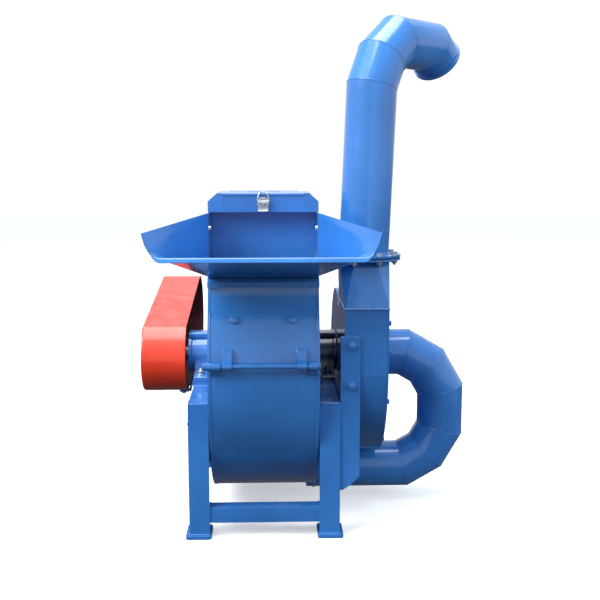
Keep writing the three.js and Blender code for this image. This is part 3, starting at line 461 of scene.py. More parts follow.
def fastener(origin, direction, size=12, washer=True, stud=0.0):
    """A hexagon bolt head or nut on its washer, with the thread end showing if stud is set."""
    rise = size * 0.2 if washer else 0
    shapes = [moved(hex_head(size * 1.58, size * 0.63), Matrix.Translation((0, 0, rise)))]
    if washer:
        rim = [(0, 0), (0, size * 1.02), (rise * 0.8, size * 1.02), (rise, size * 0.97), (rise, 0)]
        shapes.append(turned(rim, 36))
    if stud:
        top = rise + size * 0.63
        turns = [(top, 0), (top, size * 0.46)]
        for i in range(int(stud / (size * 0.14))):
            base = top + i * size * 0.14
            turns += [(base + size * 0.03, size * 0.5), (base + size * 0.07, size * 0.5),
                      (base + size * 0.10, size * 0.44), (base + size * 0.14, size * 0.44)]
        turns += [(top + stud, size * 0.40), (top + stud, 0)]
        shapes.append(turned(turns, 24))
    return [moved(s, aim(origin, direction)) for s in shapes]


def sheet(rows, thickness):
    """A grid of points given thickness along its own normals; a negative thickness goes the other way."""
    rows = [[Vector(p) for p in row] for row in rows]
    height, width = len(rows), len(rows[0])
    backs = []
    for r in range(height):
        line = []
        for i in range(width):
            across = rows[r][min(i + 1, width - 1)] - rows[r][max(i - 1, 0)]
            down = rows[min(r + 1, height - 1)][i] - rows[max(r - 1, 0)][i]
            line.append(rows[r][i] + across.cross(down).normalized() * thickness)
        backs.append(line)
    points = [p for row in rows + backs for p in row]
    faces = []
    for base in (0, height * width):
        for r in range(height - 1):
            for i in range(width - 1):
                k = base + r * width + i
                faces.append([k, k + 1, k + width + 1, k + width])
    rim = [i for i in range(width)]
    rim += [r * width + width - 1 for r in range(1, height)]
    rim += [(height - 1) * width + i for i in range(width - 2, -1, -1)]
    rim += [r * width for r in range(height - 2, 0, -1)]
    for a, b in zip(rim, rim[1:] + rim[:1]):
        faces.append([a, b, b + height * width, a + height * width])
    return points, faces


# ------------------------------------------------------------------ materials

def srgb(r, g, b):
    return tuple(((c / 255 + 0.055) / 1.055) ** 2.4 if c > 10 else c / 3295 for c in (r, g, b))


class Nodes:
    """Short names for building one node material."""

    def __init__(self, name):
        self.material = bpy.data.materials.new(name)
        self.material.use_nodes = True
        self.tree = self.material.node_tree
        self.shader = self.tree.nodes["Principled BSDF"]
        self.where = self.tree.nodes.new("ShaderNodeTexCoord").outputs["Object"]

    def link(self, source, socket):
        self.tree.links.new(source, socket)

    def noise(self, scale, detail=3.0, stretch=None):
        node = self.tree.nodes.new("ShaderNodeTexNoise")
        node.inputs["Scale"].default_value = scale
        node.inputs["Detail"].default_value = detail
        where = self.where
        if stretch:
            mapping = self.tree.nodes.new("ShaderNodeMapping")
            mapping.inputs["Scale"].default_value = stretch
            self.link(where, mapping.inputs["Vector"])
            where = mapping.outputs["Vector"]
        self.link(where, node.inputs["Vector"])
        return node.outputs["Fac"]

    def remap(self, value, low, high, to_low=0.0, to_high=1.0):
        node = self.tree.nodes.new("ShaderNodeMapRange")
        for key, number in zip(("From Min", "From Max", "To Min", "To Max"), (low, high, to_low, to_high)):
            node.inputs[key].default_value = number
        self.link(value, node.inputs["Value"])
        return node.outputs["Result"]

    def times(self, a, b):
        node = self.tree.nodes.new("ShaderNodeMath")
        node.operation = "MULTIPLY"
        self.link(a, node.inputs[0])
        if isinstance(b, float):
            node.inputs[1].default_value = b
        else:
            self.link(b, node.inputs[1])
        return node.outputs[0]

    def mix(self, share, a, b):
        node = self.tree.nodes.new("ShaderNodeMix")
        node.data_type = "RGBA"
        self.link(share, node.inputs["Factor"])
        for socket, colour in ((node.inputs[6], a), (node.inputs[7], b)):
            if isinstance(colour, tuple):
                socket.default_value = (*colour, 1)
            else:
                self.link(colour, socket)
        return node.outputs[2]

    def bump(self, height, distance, below=None, strength=1.0):
        node = self.tree.nodes.new("ShaderNodeBump")
        node.inputs["Distance"].default_value = distance
        node.inputs["Strength"].default_value = strength
        self.link(height, node.inputs["Height"])
        if below:
            self.link(below, node.inputs["Normal"])
        return node.outputs["Normal"]

    def geometry(self, name):
        return self.tree.nodes.new("ShaderNodeNewGeometry").outputs[name]


def enamel(name, colour, bare, roughness=0.2, coat=0.6, wear=0.55):
    """Sprayed gloss paint: waviness of the sheet, orange peel, worn edges, settled meal dust and painted
    shade darkening the hollows and creases.
    """
    n = Nodes(name)
    light = tuple(min(1, c * 1.10 + 0.003) for c in colour)
    dark = tuple(c * 0.90 for c in colour)
    tone = n.mix(n.remap(n.noise(5.0), 0.35, 0.65), dark, light)
    edge = n.remap(n.geometry("Pointiness"), 0.57, 0.68)
    chipped = n.times(edge, n.remap(n.noise(38.0, 6.0), 0.50, 0.62, 0.0, wear))
    tone = n.mix(chipped, tone, bare)
    # painted shade: the paint is darkened in hollows and creases, where shade falls
    painted_crevice_shade = n.remap(n.geometry("Pointiness"), 0.44, 0.36, 0.0, 0.5)
    tone = n.mix(painted_crevice_shade, tone, tuple(c * 0.35 for c in colour))
    split = n.tree.nodes.new("ShaderNodeSeparateXYZ")
    n.link(n.geometry("Normal"), split.inputs[0])
    dust = n.times(n.remap(split.outputs["Z"], 0.5, 1.0), n.remap(n.noise(22.0, 8.0), 0.45, 0.75, 0.0, 0.10))
    tone = n.mix(dust, tone, srgb(205, 198, 180))
    n.link(tone, n.shader.inputs["Base Color"])
    sheen = n.remap(n.noise(14.0, 5.0), 0.3, 0.7, roughness * 0.75, roughness * 1.5)
    n.link(sheen, n.shader.inputs["Roughness"])
    n.link(n.times(chipped, 0.6), n.shader.inputs["Metallic"])
    n.shader.inputs["Coat Weight"].default_value = coat
    n.shader.inputs["Coat Roughness"].default_value = 0.08
    wave = n.bump(n.noise(9.0, 1.0), 0.0016, strength=0.55)
    n.link(n.bump(n.noise(420.0, 2.0), 0.00012, wave), n.shader.inputs["Normal"])
    return n.material


def metal(name, colour, dull, roughness, stretch=None, pits=0.00015, rust=0.0):
    """Bare or plated metal with machining or rolling marks, dull patches and a little rust."""
    n = Nodes(name)
    tone = n.mix(n.remap(n.noise(26.0, 5.0), 0.38, 0.68), colour, dull)
    if rust:
        tone = n.mix(n.remap(n.noise(48.0, 8.0), 0.60, 0.70, 0.0, rust), tone, srgb(112, 62, 34))
    n.link(tone, n.shader.inputs["Base Color"])
    n.shader.inputs["Metallic"].default_value = 0.9
    sheen = n.remap(n.noise(60.0, 6.0), 0.3, 0.7, roughness * 0.7, roughness * 1.35)
    n.link(sheen, n.shader.inputs["Roughness"])
    n.link(n.bump(n.noise(300.0, 4.0, stretch), pits), n.shader.inputs["Normal"])
    return n.material


def soft(name, colour):
    n = Nodes(name)
    tone = n.mix(n.remap(n.noise(40.0, 4.0), 0.35, 0.65), colour, tuple(c * 1.8 for c in colour))
    n.link(tone, n.shader.inputs["Base Color"])
    n.link(n.remap(n.noise(90.0), 0.3, 0.7, 0.55, 0.85), n.shader.inputs["Roughness"])
    n.link(n.bump(n.noise(500.0), 0.0002), n.shader.inputs["Normal"])
    return n.material


# Each finish is a material and the record slot it stands for.
BLUE = (enamel("blue_enamel", srgb(47, 112, 184), srgb(120, 140, 165)), "blue_enamel")
RED = (enamel("red_enamel", srgb(222, 56, 26), srgb(130, 96, 88), 0.26, 0.35), "red_enamel")
DARK = (enamel("dark_enamel", srgb(15, 27, 76), srgb(110, 112, 118), 0.28), "dark_enamel")
ZINC = (metal("zinc_plate", srgb(214, 217, 222), srgb(160, 164, 170), 0.28), "zinc_plate")
TURNED = (metal(
    "turned_steel", srgb(176, 178, 182), srgb(128, 130, 134), 0.26,
    (12.0, 0.3, 0.3), 0.00008, 0.3), "turned_steel")
WEAR = (metal("wear_steel", srgb(120, 118, 116), srgb(84, 80, 76), 0.45, rust=0.6), "wear_steel")
CAST = (metal(
    "cast_iron", srgb(98, 100, 104), srgb(66, 68, 72), 0.55, pits=0.0005, rust=0.35), "cast_iron")
RUBBER = (soft("rubber", srgb(24, 25, 27)), "rubber")
# painted shade: a dark red that stands in for the shade inside the belt guard
SHADED_GUARD_INSIDE = (soft("guard_inside_painted_shade", srgb(66, 23, 27)), "red_enamel")
SIDES = (("left", -1), ("right", 1))


# ------------------------------------------------------------------ frame

def angle_outline(corner, u_way, v_way, u_leg=ANGLE, v_leg=ANGLE, t=ANGLE_T):
    """Rolled angle section: square heel, filleted root and rounded toes."""
    u, v = corner
    return rounded([
        (u, v, 1.0), (u + u_way * u_leg, v, 0.6), (u + u_way * u_leg, v + v_way * t, t * 0.6),
        (u + u_way * t, v + v_way * t, t * 0.8), (u + u_way * t, v + v_way * v_leg, t * 0.6),
        (u, v + v_way * v_leg, 0.6)])


BEAM_PROUD = 0.3
BRACKET_END = -262


def side_frame(word, way):
    out = way * FRAME_OUT
    form = Form()
    welds = Form()
    for end in (-1, 1):
        heel = (out - way * BEAM_PROUD, end * FRAME_HALF_Y)
        form.add(prism(angle_outline(heel, -way, -end), (FOOT_T + GAP, BEAM_TOP - 14), "z"))
        x = sorted((out - way * (BEAM_PROUD - 0.1), out - way * (ANGLE + BEAM_PROUD + 0.1)))
        y = sorted((end * (FRAME_HALF_Y + 0.2), end * (FRAME_HALF_Y - ANGLE_T + 0.2)))
        face = rounded([
            (x[0], FOOT_T + GAP, 0), (x[1], FOOT_T + GAP, 0),
            (x[1], BEAM_TOP - 0.2, 9), (x[0], BEAM_TOP - 0.2, 9)])
        form.add(prism(face, y, "y"))
        foot = [(p[0], p[1], FOOT_T + 1) for p in angle_outline(heel, -way, -end)]
        welds.add(bead(foot, 6, closed=True))
        inner = end * (FRAME_HALF_Y - ANGLE)
        low = BEAM_TOP - ANGLE
        welds.add(bead([(out, inner, BEAM_TOP - 4), (out, inner, low)], 5))
        welds.add(bead([(out, inner, low), (out, end * (FRAME_HALF_Y - 4), low)], 5))
        welds.add(bead([
            (out - way * 3, end * (FRAME_HALF_Y - ANGLE_T), BEAM_TOP),
            (out - way * (ANGLE - 3), end * (FRAME_HALF_Y - ANGLE_T), BEAM_TOP)], 4))
    reach = FRAME_HALF_Y - ANGLE_T + 1
    form.add(prism(angle_outline((out, BEAM_TOP), -way, -1), (-reach, reach), "y"))
    pad_x = sorted((way * PAD_X[0], way * PAD_X[1]))
    form.add(prism(rectangle(pad_x, (-PAD_Y, PAD_Y), 3), (BEAM_TOP - 1, PAD_TOP), "z"))
    pad = [(pad_x[0], -PAD_Y), (pad_x[1], -PAD_Y), (pad_x[1], PAD_Y), (pad_x[0], PAD_Y)]
    welds.add(bead([(x, y, BEAM_TOP + 0.5) for x, y in pad], 5, closed=True))
    if way < 0:
        for y in (0, 327):
            form.add(*guard_bracket(y))
            seam = [(-FRAME_OUT - 1, y + step, BEAM_TOP - 3.5) for step in (-14, 14)]
            welds.add(bead(seam, 5))
    piece("frame_" + word, form, "machine", BLUE, ["frame_" + word], bevel=0.5)
    piece("frame_welds_" + word, welds, "machine", BLUE, crease=60)


def guard_bottom(y):
    """Underside of the guard at a distance back from the rotor axis."""
    a, b = GUARD_NOSE, GUARD_TAIL
    span = math.hypot(b[0] - a[0], b[1] - a[1])
    heading = math.atan2(b[1] - a[1], b[0] - a[0])
    spread = math.acos((a[2] - b[2]) / span)
    angle = heading - spread
    foot = Vector((a[0] + a[2] * math.cos(angle), a[1] + a[2] * math.sin(angle)))
    slope = math.tan(angle + math.pi / 2)
    if y <= foot.x:
        return a[1] - math.sqrt(a[2] ** 2 - (y - a[0]) ** 2)
    return foot.y + slope * (y - foot.x)


def guard_bracket(y):
    """A flat bar from the side beam to the guard's underside, with its bolt."""
    under = guard_bottom(y) - GAP
    top = BEAM_TOP - 4
    path = [(-FRAME_OUT, top), (-226, top), (-232, under), (BRACKET_END, under)]
    if abs(top - under) < 8:
        path = [(-FRAME_OUT, under), (BRACKET_END, under)]
    shapes = []
    for (xa, za), (xb, zb) in zip(path, path[1:]):
        bar = [(xa, za), (xb, zb), (xb, zb - 5), (xa, za - 5)]
        if abs(xb - xa) < abs(zb - za):
            bar = [(xa, za), (xb, zb), (xb + 5, zb - 5), (xa + 5, za - 5)]
        shapes.append(prism(bar, (y - 16, y + 16), "y"))
    shapes += fastener((BRACKET_END + 12, y, under - 5), (0, 0, -1), 8)
    return shapes


def feet_and_stretchers():
    for word, way in SIDES:
        for end_word, end in (("front", -1), ("rear", 1)):
            x = sorted((way * FOOT_X[0], way * FOOT_X[1]))
            y = sorted((end * FOOT_Y[0], end * FOOT_Y[1]))
            foot = plate(rectangle(x, y, 9), [(way * 176, end * 311, 7)], (0, FOOT_T), "z")
            name = "foot_" + end_word + "_" + word
            piece(name, Form(foot), "machine", BLUE, [name], bevel=1.1)
    for end_word, end in (("front", -1), ("rear", 1)):
        face = end * (FRAME_HALF_Y - 4)
        outline = angle_outline((face, STRETCHER_Z[1]), -end, -1, 42, 44, 5)
        form = Form(prism(outline, (-152.6, 152.6), "x"))
        for way in (-1, 1):
            x = way * 152.6
            form.add(bead([
                (x, face - end * 40, STRETCHER_Z[1] + 0.5), (x, face, STRETCHER_Z[1] + 0.5),
                (x, face, STRETCHER_Z[0])], 5))
        piece(end_word + "_stretcher", form, "machine", BLUE, [end_word + "_stretcher"], bevel=0.5, crease=40)


for word, way in SIDES:
    side_frame(word, way)
feet_and_stretchers()

# ------------------------------------------------------------------ casing

SPLIT_ANGLE = math.degrees(math.asin((SPLIT_Z - SHAFT_Z) / DRUM_R))
AXIS = (0, SHAFT_Z)


def shell_sector(start, end, x, outer=DRUM_R, wall=SHELL):
    steps = max(4, int(abs(end - start) / 2))
    outline = arc(AXIS, outer, start, end, steps) + arc(AXIS, outer - wall, end, start, steps)
    return prism(outline, x, "x")


def drum_z(y, radius=DRUM_R):
    return SHAFT_Z + math.sqrt(radius ** 2 - y ** 2)


def drum_angle(y):
    return math.degrees(math.acos(y / DRUM_R))


def flange_z(y):
    return FLANGE_FRONT_Z + (y - THROAT_FRONT) * FLANGE_SLOPE


NECK_ANGLE = 153


def neck_outline(inset):
    """The shell's front where it leaves the drum and rises to the throat flange, in (y, z)."""
    radius = DRUM_R - inset
    angle = math.radians(NECK_ANGLE)
    start = Vector((radius * math.cos(angle), SHAFT_Z + radius * math.sin(angle)))
    front = THROAT_FRONT + inset
    rise = (front - start.x) / math.sin(angle)
    knee = start + Vector((math.sin(angle), -math.cos(angle))) * rise
    end = Vector((front, flange_z(front) - 6))
    points = []
    for k in range(11):
        s = k / 10
        points.append(tuple(start * (1 - s) ** 2 + knee * 2 * s * (1 - s) + end * s ** 2))
    return points


def rear_flange(z):
    """Joint flange with two slots, open at the back, that the swing bolts drop into."""
    outline = [(-CASING_HALF, REAR_FLANGE[0]), (CASING_HALF, REAR_FLANGE[0])]
    for x in (SWING_X, -SWING_X):
        y = REAR_FLANGE[1]
        if x > 0:
            outline.append((CASING_HALF, y))
        outline.append((x + 8, y))
        outline += arc((x, SWING_Y), 8, 0, -180, 10)
        outline.append((x - 8, y))
    outline.append((-CASING_HALF, REAR_FLANGE[1]))
    return prism(outline, z, "z")


def hinge_leaf(x, up):
    """A strap welded to the casing front and rolled round the hinge rod at one end."""
    span = (x[0], x[1])
    sign = 1 if up else -1
    end = 542 if up else 475
    knuckle = moved(
        tube(KNUCKLE_R, HINGE_ROD_R + 0.4, (0, span[1] - span[0]), 36),
        aim((span[0], HINGE_Y, SPLIT_Z), (1, 0, 0)))
    leaf_x = (x[2], x[2] + (span[1] - x[2] if x[2] != span[0] else span[1] - span[0]))
    strap = [
        (HINGE_Y - 3, SPLIT_Z + sign * 10.4), (-403.5, SPLIT_Z + sign * 16), (-401, end - sign * 4),
        (-398, end), (-384, end), (-388, SPLIT_Z + sign * 3), (HINGE_Y + 8, SPLIT_Z + sign * 3)]
    return [knuckle, prism(strap, leaf_x, "x")]


def leaf_welds(x, up):
    end = 542 if up else 475
    leaf = (x[2], x[1])
    y = -math.sqrt(DRUM_R ** 2 - (end - SHAFT_Z) ** 2) - 1
    path = [(leaf[0], y - 6, SPLIT_Z + (20 if up else -18)), (leaf[0], y, end)]
    path += [(leaf[1], y, end), (leaf[1], y - 6, SPLIT_Z + (20 if up else -18))]
    return bead(path, 5)


def plate_welds(start, end):
    """Fillet welds between the shell and the proud side plates."""
    beads = []
    for way in (-1, 1):
        x = way * (CASING_HALF - SIDE_PLATE)
        beads.append(bead([(x, y, z) for y, z in arc(AXIS, DRUM_R + 0.4, start, end, 40)], 4))
    return beads


def lower_casing():
    low, high = 180 - SPLIT_ANGLE, 360 + SPLIT_ANGLE
    form = Form(shell_sector(low, high, (-146, 146)))
    outline = arc(AXIS, DRUM_R + PLATE_PROUD, low, high, 110)
    form.add(plate(outline, [(0, SHAFT_Z, 27)], (-CASING_HALF, -CASING_HALF + SIDE_PLATE), "x"))
    form.add(plate(
        outline, [(0, SHAFT_Z, 27), (0, LOOP_LOW_Z, DUCT_R - DUCT_WALL)],
        (CASING_HALF - SIDE_PLATE, CASING_HALF), "x"))
    form.add(rear_flange((SPLIT_Z - 12, SPLIT_Z - 0.2)))
    for leaf in LOWER_KNUCKLES:
        form.add(*hinge_leaf(leaf, False))
    for way in (-1, 1):
        for x in (way * SWING_X - 11, way * SWING_X + 11):
            span = (x - 3, x + 3)
            lug = rounded([
                (370, 430, 0), (SWING_Y + 13, 430, 12), (SWING_Y + 13, 458, 12), (SWING_Y - 6, 470, 4),
                (SWING_Y - 6, SPLIT_Z - 12, 0), (375, SPLIT_Z - 12, 0)])
            form.add(prism(lug, span, "x"))
    piece("lower_casing", form, "machine", BLUE, ["lower_casing"], bevel=0.6)
    spigot = Form(moved(tube(DUCT_R, DUCT_R - DUCT_WALL, SPIGOT_X), aim((0, 0, LOOP_LOW_Z), (1, 0, 0))))
    piece("suction_spigot", spigot, "machine", BLUE, bevel=0.6)
    welds = Form(*plate_welds(low, high))
    for leaf in LOWER_KNUCKLES:
        welds.add(leaf_welds(leaf, False))
    ring = [(CASING_HALF + 0.5, y, z) for y, z in arc((0, LOOP_LOW_Z), DUCT_R + 0.5, 0, 357, 119)]
    welds.add(bead(ring, 6, closed=True))
    welds.add(bead([(-148, REAR_FLANGE[0] + 8, SPLIT_Z - 13), (148, REAR_FLANGE[0] + 8, SPLIT_Z - 13)], 5))
    piece("lower_casing_welds", welds, "machine", BLUE, crease=60)


def throat_flange(rise, x_half):
    """Sloping flange strips round the throat opening."""
    front, back = THROAT_FRONT - 12, THROAT_BACK
    strips = []
    for y, x in (((front, THROAT_FRONT + 4), (-x_half, x_half)),
                 ((THROAT_FRONT + 4, back), (CASING_HALF - 6, x_half)),
                 ((THROAT_FRONT + 4, back), (-x_half, -CASING_HALF + 6))):
        strips.append(prism([
            (y[0], flange_z(y[0]) + rise[0]), (y[1], flange_z(y[1]) + rise[0]),
            (y[1], flange_z(y[1]) + rise[1]), (y[0], flange_z(y[0]) + rise[1])], x, "x"))
    return strips


def upper_casing():
    first, last = SPLIT_ANGLE, 180 - SPLIT_ANGLE
    back_cut = drum_angle(THROAT_BACK)
    inlet = (drum_angle(-190), drum_angle(-90))
    inside = (-146, 146)
    form = Form(shell_sector(last, NECK_ANGLE, inside), shell_sector(back_cut, inlet[0], inside))
    form.add(shell_sector(inlet[0], inlet[1], (-146, -110)), shell_sector(inlet[0], inlet[1], (110, 146)))
    form.add(shell_sector(inlet[1], first, inside))
    outline = arc(AXIS, DRUM_R + PLATE_PROUD, first, back_cut, 66)
    outline += neck_outline(-PLATE_PROUD)[::-1]
    outline += arc(AXIS, DRUM_R + PLATE_PROUD, NECK_ANGLE, last, 16)
    low_y = (-CASING_HALF, -CASING_HALF + SIDE_PLATE)
    form.add(prism(outline, low_y, "x"), prism(outline, (-low_y[1], -low_y[0]), "x"))
    form.add(prism(neck_outline(0) + neck_outline(4)[::-1], inside, "x"))
    form.add(box(inside, (THROAT_BACK - 4, THROAT_BACK), (738, drum_z(THROAT_BACK) - 2)))
    form.add(*throat_flange((-6.3, -0.3), 150.6))
    form.add(rear_flange((SPLIT_Z + 0.2, SPLIT_Z + 12)))
    for leaf in UPPER_KNUCKLES:
        form.add(*hinge_leaf(leaf, True))
    y0, y1 = THROAT_BACK + GAP, BOX_BACK
    wall = [(y0, THROAT_TOP), (y1, THROAT_TOP)]
    wall += [(y, drum_z(y) - 3) for y in (y1, -100, -150, y0)]
    form.add(prism(wall, (-CASING_HALF, -146), "x"), prism(wall, (146, CASING_HALF), "x"))
    form.add(box(inside, (y0, y0 + 4), (drum_z(y0) - 4, THROAT_TOP)))
    form.add(box(inside, (y1 - 4, y1), (drum_z(y1) - 4, THROAT_TOP)))
    piece("upper_casing", form, "upper_casing", BLUE, ["upper_casing"], bevel=0.6)
    welds = Form(*plate_welds(first, inlet[1] - 8), *plate_welds(NECK_ANGLE, last))
    welds.add(bead([(-146, y1 + 1, drum_z(y1) + 1), (146, y1 + 1, drum_z(y1) + 1)], 5))
    for way in (-1, 1):
        welds.add(bead([(way * 150.4, y, drum_z(y) + 1) for y in (y0, -180, -150, -120, -90, y1)], 5))
    for leaf in UPPER_KNUCKLES:
        welds.add(leaf_welds(leaf, True))
    piece("upper_casing_welds", welds, "upper_casing", BLUE, crease=60)
    bolts = Form()
    x, z = LINER_BOLT
    y = -math.sqrt(DRUM_R ** 2 - (z - SHAFT_Z) ** 2)
    for way in (-1, 1):
        bolts.add(*fastener((way * x, y + 0.3, z), (0, y, z - SHAFT_Z), 12.6, washer=True))
    piece("liner_bolts", bolts, "upper_casing", BLUE, bevel=0.4)
    steps = zip(range(147, 171, 4), range(151, 175, 4))
    liner = Form()
    for a, b in steps:
        outline = arc(AXIS, 389, a, b, 2) + [
            (AXIS[0] + 381 * math.cos(math.radians(b)), AXIS[1] + 381 * math.sin(math.radians(b))),
            (AXIS[0] + 385 * math.cos(math.radians(a)), AXIS[1] + 385 * math.sin(math.radians(a)))]
        liner.add(prism(outline, (-140, 140), "x"))
    piece("liner_plate", liner, "upper_casing", WEAR, ["liner_plate"], bevel=0.5)


SCREEN_PITCH = 17.5
HOLE_R = 6


def perforated_screen():
    """A rolled plate with round holes in straight rows, between plain margins."""
    start, end = 184, 356
    length = math.radians(end - start) * (SCREEN_R + 1.5)
    cols = int((length - 20) / SCREEN_PITCH)
    rows = int(264 / SCREEN_PITCH)
    margin_s = (length - cols * SCREEN_PITCH) / 2
    margin_x = (284 - rows * SCREEN_PITCH) / 2

    def bend(s, x, r):
        angle = math.radians(start) + s / (SCREEN_R + 1.5)
        return (x, r * math.cos(angle), SHAFT_Z + r * math.sin(angle))

    form = Form()
    for r in range(rows):
        for c in range(cols):
            s0 = margin_s + (c + 0.5) * SCREEN_PITCH
            x0 = -142 + margin_x + (r + 0.5) * SCREEN_PITCH
            square, ring = [], []
            for k in range(12):
                a = math.radians(30 * k + 15)
                u, v = math.cos(a), math.sin(a)
                grow = SCREEN_PITCH / 2 / max(abs(u), abs(v))
                square.append((s0 + u * grow, x0 + v * grow))
                ring.append((s0 + u * HOLE_R, x0 + v * HOLE_R))
            loops = [[bend(s, x, radius) for s, x in loop] for radius, loop in (
                (SCREEN_R, square), (SCREEN_R, ring), (SCREEN_R + 3, ring), (SCREEN_R + 3, square))]
            form.add(grid(loops, closed=True))
    for s in ((0, margin_s), (length - margin_s, length)):
        form.add(margin(bend, s, (-142, 142)))
    for x in ((-142, -142 + margin_x), (142 - margin_x, 142)):
        form.add(margin(bend, (margin_s, length - margin_s), x))
    piece("screen", form, "machine", WEAR, ["screen"], crease=40)


def margin(bend, s, x):
    steps = max(2, int((s[1] - s[0]) / 12))
    front, back = [], []
    for i in range(steps + 1):
        at = s[0] + (s[1] - s[0]) * i / steps
        front.append([bend(at, x[0], SCREEN_R), bend(at, x[1], SCREEN_R)])
        back.append([bend(at, x[1], SCREEN_R + 3), bend(at, x[0], SCREEN_R + 3)])
    loops = [f + b for f, b in zip(front, back)]
    points, faces = grid(loops, closed=True)
    return points, faces + [[0, 1, 2, 3], list(range(len(points) - 4, len(points)))]


def hinge_rod():
    turns = [(-160, 0), (-160, 8), (-158.5, 9.5), (-155, 9.5), (-154.3, 8.5), (-154.3, HINGE_ROD_R)]
    turns += [(145, HINGE_ROD_R), (145, 8.5), (146, 9.5), (149, 9.5), (150, 8), (150, 0)]
    rod_shape = moved(turned(turns, 40), aim((0, HINGE_Y, SPLIT_Z), (1, 0, 0)))
    piece("hinge_rod", Form(rod_shape), "machine", BLUE, ["hinge_rod"], bevel=0.3)


def swing_bolt(word, way):
    x = way * SWING_X
    eye = moved(tube(11, 5.2, (-7, 7), 32), aim((x, SWING_Y, SWING_Z), (1, 0, 0)))
    form = Form(eye)
    turns = [(9, 0), (9, 6), (SPLIT_Z + 8 - SWING_Z, 6)]
    for i in range(28):
        base = SPLIT_Z + 8 - SWING_Z + i * 1.75
        if base < 105:
            turns += [(base + 0.3, 6), (base + 0.9, 6), (base + 1.2, 5.2), (base + 1.7, 5.2)]
    turns += [(106, 4.8), (106, 0)]
    form.add(moved(turned(turns, 28), aim((x, SWING_Y, SWING_Z), (0, 0, 1))))
    form.add(*fastener((x, SWING_Y, SPLIT_Z + 12.2), (0, 0, 1), 13))
    name = "swing_bolt_" + word
    piece(name, form, name, ZINC, [name], bevel=0.3)
    pin = moved(rod(4.9, (x - 17, x + 17)), aim((0, SWING_Y, SWING_Z), (1, 0, 0)))
    piece("swing_pin_" + word, Form(pin), "machine", ZINC)


lower_casing()
upper_casing()
perforated_screen()
hinge_rod()
for word, way in SIDES:
    swing_bolt(word, way)

# ------------------------------------------------------------------ hopper and hood

TRAY_FRONT_HALF = 266
TRAY_BACK_HALF = 147
WING_FOLD = ((284, 836), (147.5, 889))
WING_TOP = ((292, 865), (147.5, 901))


def along(front, back, t):
    """A hopper edge point a share t of the way from the lip to the throat; both ends are (x, z)."""
    y = LIP_Y + (THROAT_FRONT - GAP - LIP_Y) * t
    return (front[0] + (back[0] - front[0]) * t, y, front[1] + (back[1] - front[1]) * t)


def corner_points(t, way):
    """The rounded corner where the tray floor turns up into a wing."""
    corner = Vector(along((TRAY_FRONT_HALF, LIP_Z), (TRAY_BACK_HALF, TRAY_BACK_Z), t))
    fold = Vector(along(WING_FOLD[0], WING_FOLD[1], t))
    reach = min(16 * (1 - t) + 3, (fold - corner).length * 0.8)
    up = corner + (fold - corner).normalized() * reach
    inward = corner + Vector((-reach, 0, 0))
    points = []
    for k in range(6):
        s = k / 5
        p = up * (1 - s) ** 2 + corner * 2 * s * (1 - s) + inward * s ** 2
        points.append((way * p.x, p.y, p.z))
    return points


def tray_row(t, y_shift=0.0, drop=0.0):
    left = corner_points(t, -1)
    right = corner_points(t, 1)[::-1]
    middle = [tuple(Vector(left[-1]).lerp(Vector(right[0]), k / 8)) for k in range(1, 8)]
    return [(x, y + y_shift, z - drop) for x, y, z in left + middle + right]


def lip_rows():
    """The lip turned down along the front edge, dying out up the rounded corners."""
    base = tray_row(0)
    rows = []
    for shift, drop in ((-8.0, LIP_DEPTH - SHEET), (-6.0, 7.2), (-4.2, 4.0), (-2.8, 1.9), (-1.5, 0.6)):
        row = []
        for x, y, z in base:
            rise = max(0.0, 1 - (z - LIP_Z) / 12)
            row.append((x, y + shift * rise, z - drop * rise))
        rows.append(row)
    return rows


def feed_tray():
    rows = lip_rows() + [tray_row(i / 8) for i in range(9)]
    tray = Form(sheet(rows, -SHEET))
    piece("feed_tray", tray, "upper_casing", BLUE, ["feed_tray"], bevel=0.5, crease=40)
    seam = [(x, THROAT_FRONT - 2, TRAY_BACK_Z + 0.5) for x in (-146, 146)]
    weld = Form(bead(seam, 5))
    piece("tray_weld", weld, "upper_casing", BLUE, crease=60)


def hopper_wing(word, way):
    rows = []
    for i in range(10):
        t = i / 9
        low = Vector(corner_points(t, 1)[0])
        fold = Vector(along(WING_FOLD[0], WING_FOLD[1], t))
        top = Vector(along(WING_TOP[0], WING_TOP[1], t))
        row = [low.lerp(fold, k / 5) for k in range(5)]
        turn = min(4.0, (top - fold).length / 3)
        before = fold + (low - fold).normalized() * turn
        after = fold + (top - fold).normalized() * turn
        row += [before.lerp(fold, 0.5).lerp(before, 0.5), before.lerp(after, 0.5).lerp(fold, 0.5), after, top]
        rows.append([(way * p.x, p.y, p.z) for p in row])
    form = Form(sheet(rows, -way * SHEET))
    tab = rectangle((THROAT_FRONT - 1.5, THROAT_FRONT + 22), (TRAY_BACK_Z + 12, THROAT_TOP - 12), 3)
    x = sorted((way * (CASING_HALF + GAP), way * (CASING_HALF + 4)))
    form.add(prism(tab, x, "x"))
    name = "hopper_wing_" + word
    piece(name, form, "upper_casing", BLUE, [name], bevel=0.5, crease=40)
    bolts = Form()
    for z in (770, 859):
        bolts.add(*fastener((way * (CASING_HALF - 4), -308, z), (-way, 0, 0), 7, washer=True))
        bolts.add(*fastener((way * (CASING_HALF + 4), -312, z), (way, 0, 0), 7, washer=True, stud=4))
    piece("wing_bolts_" + word, bolts, "upper_casing", ZINC)
    seam = [(way * (CASING_HALF + 2.4), THROAT_FRONT - 3, TRAY_BACK_Z + 8),
            (way * (CASING_HALF + 2.4), THROAT_FRONT - 3, THROAT_TOP - 9)]
    piece("wing_welds_" + word, Form(bead(seam, 4.5)), "upper_casing", BLUE, crease=60)


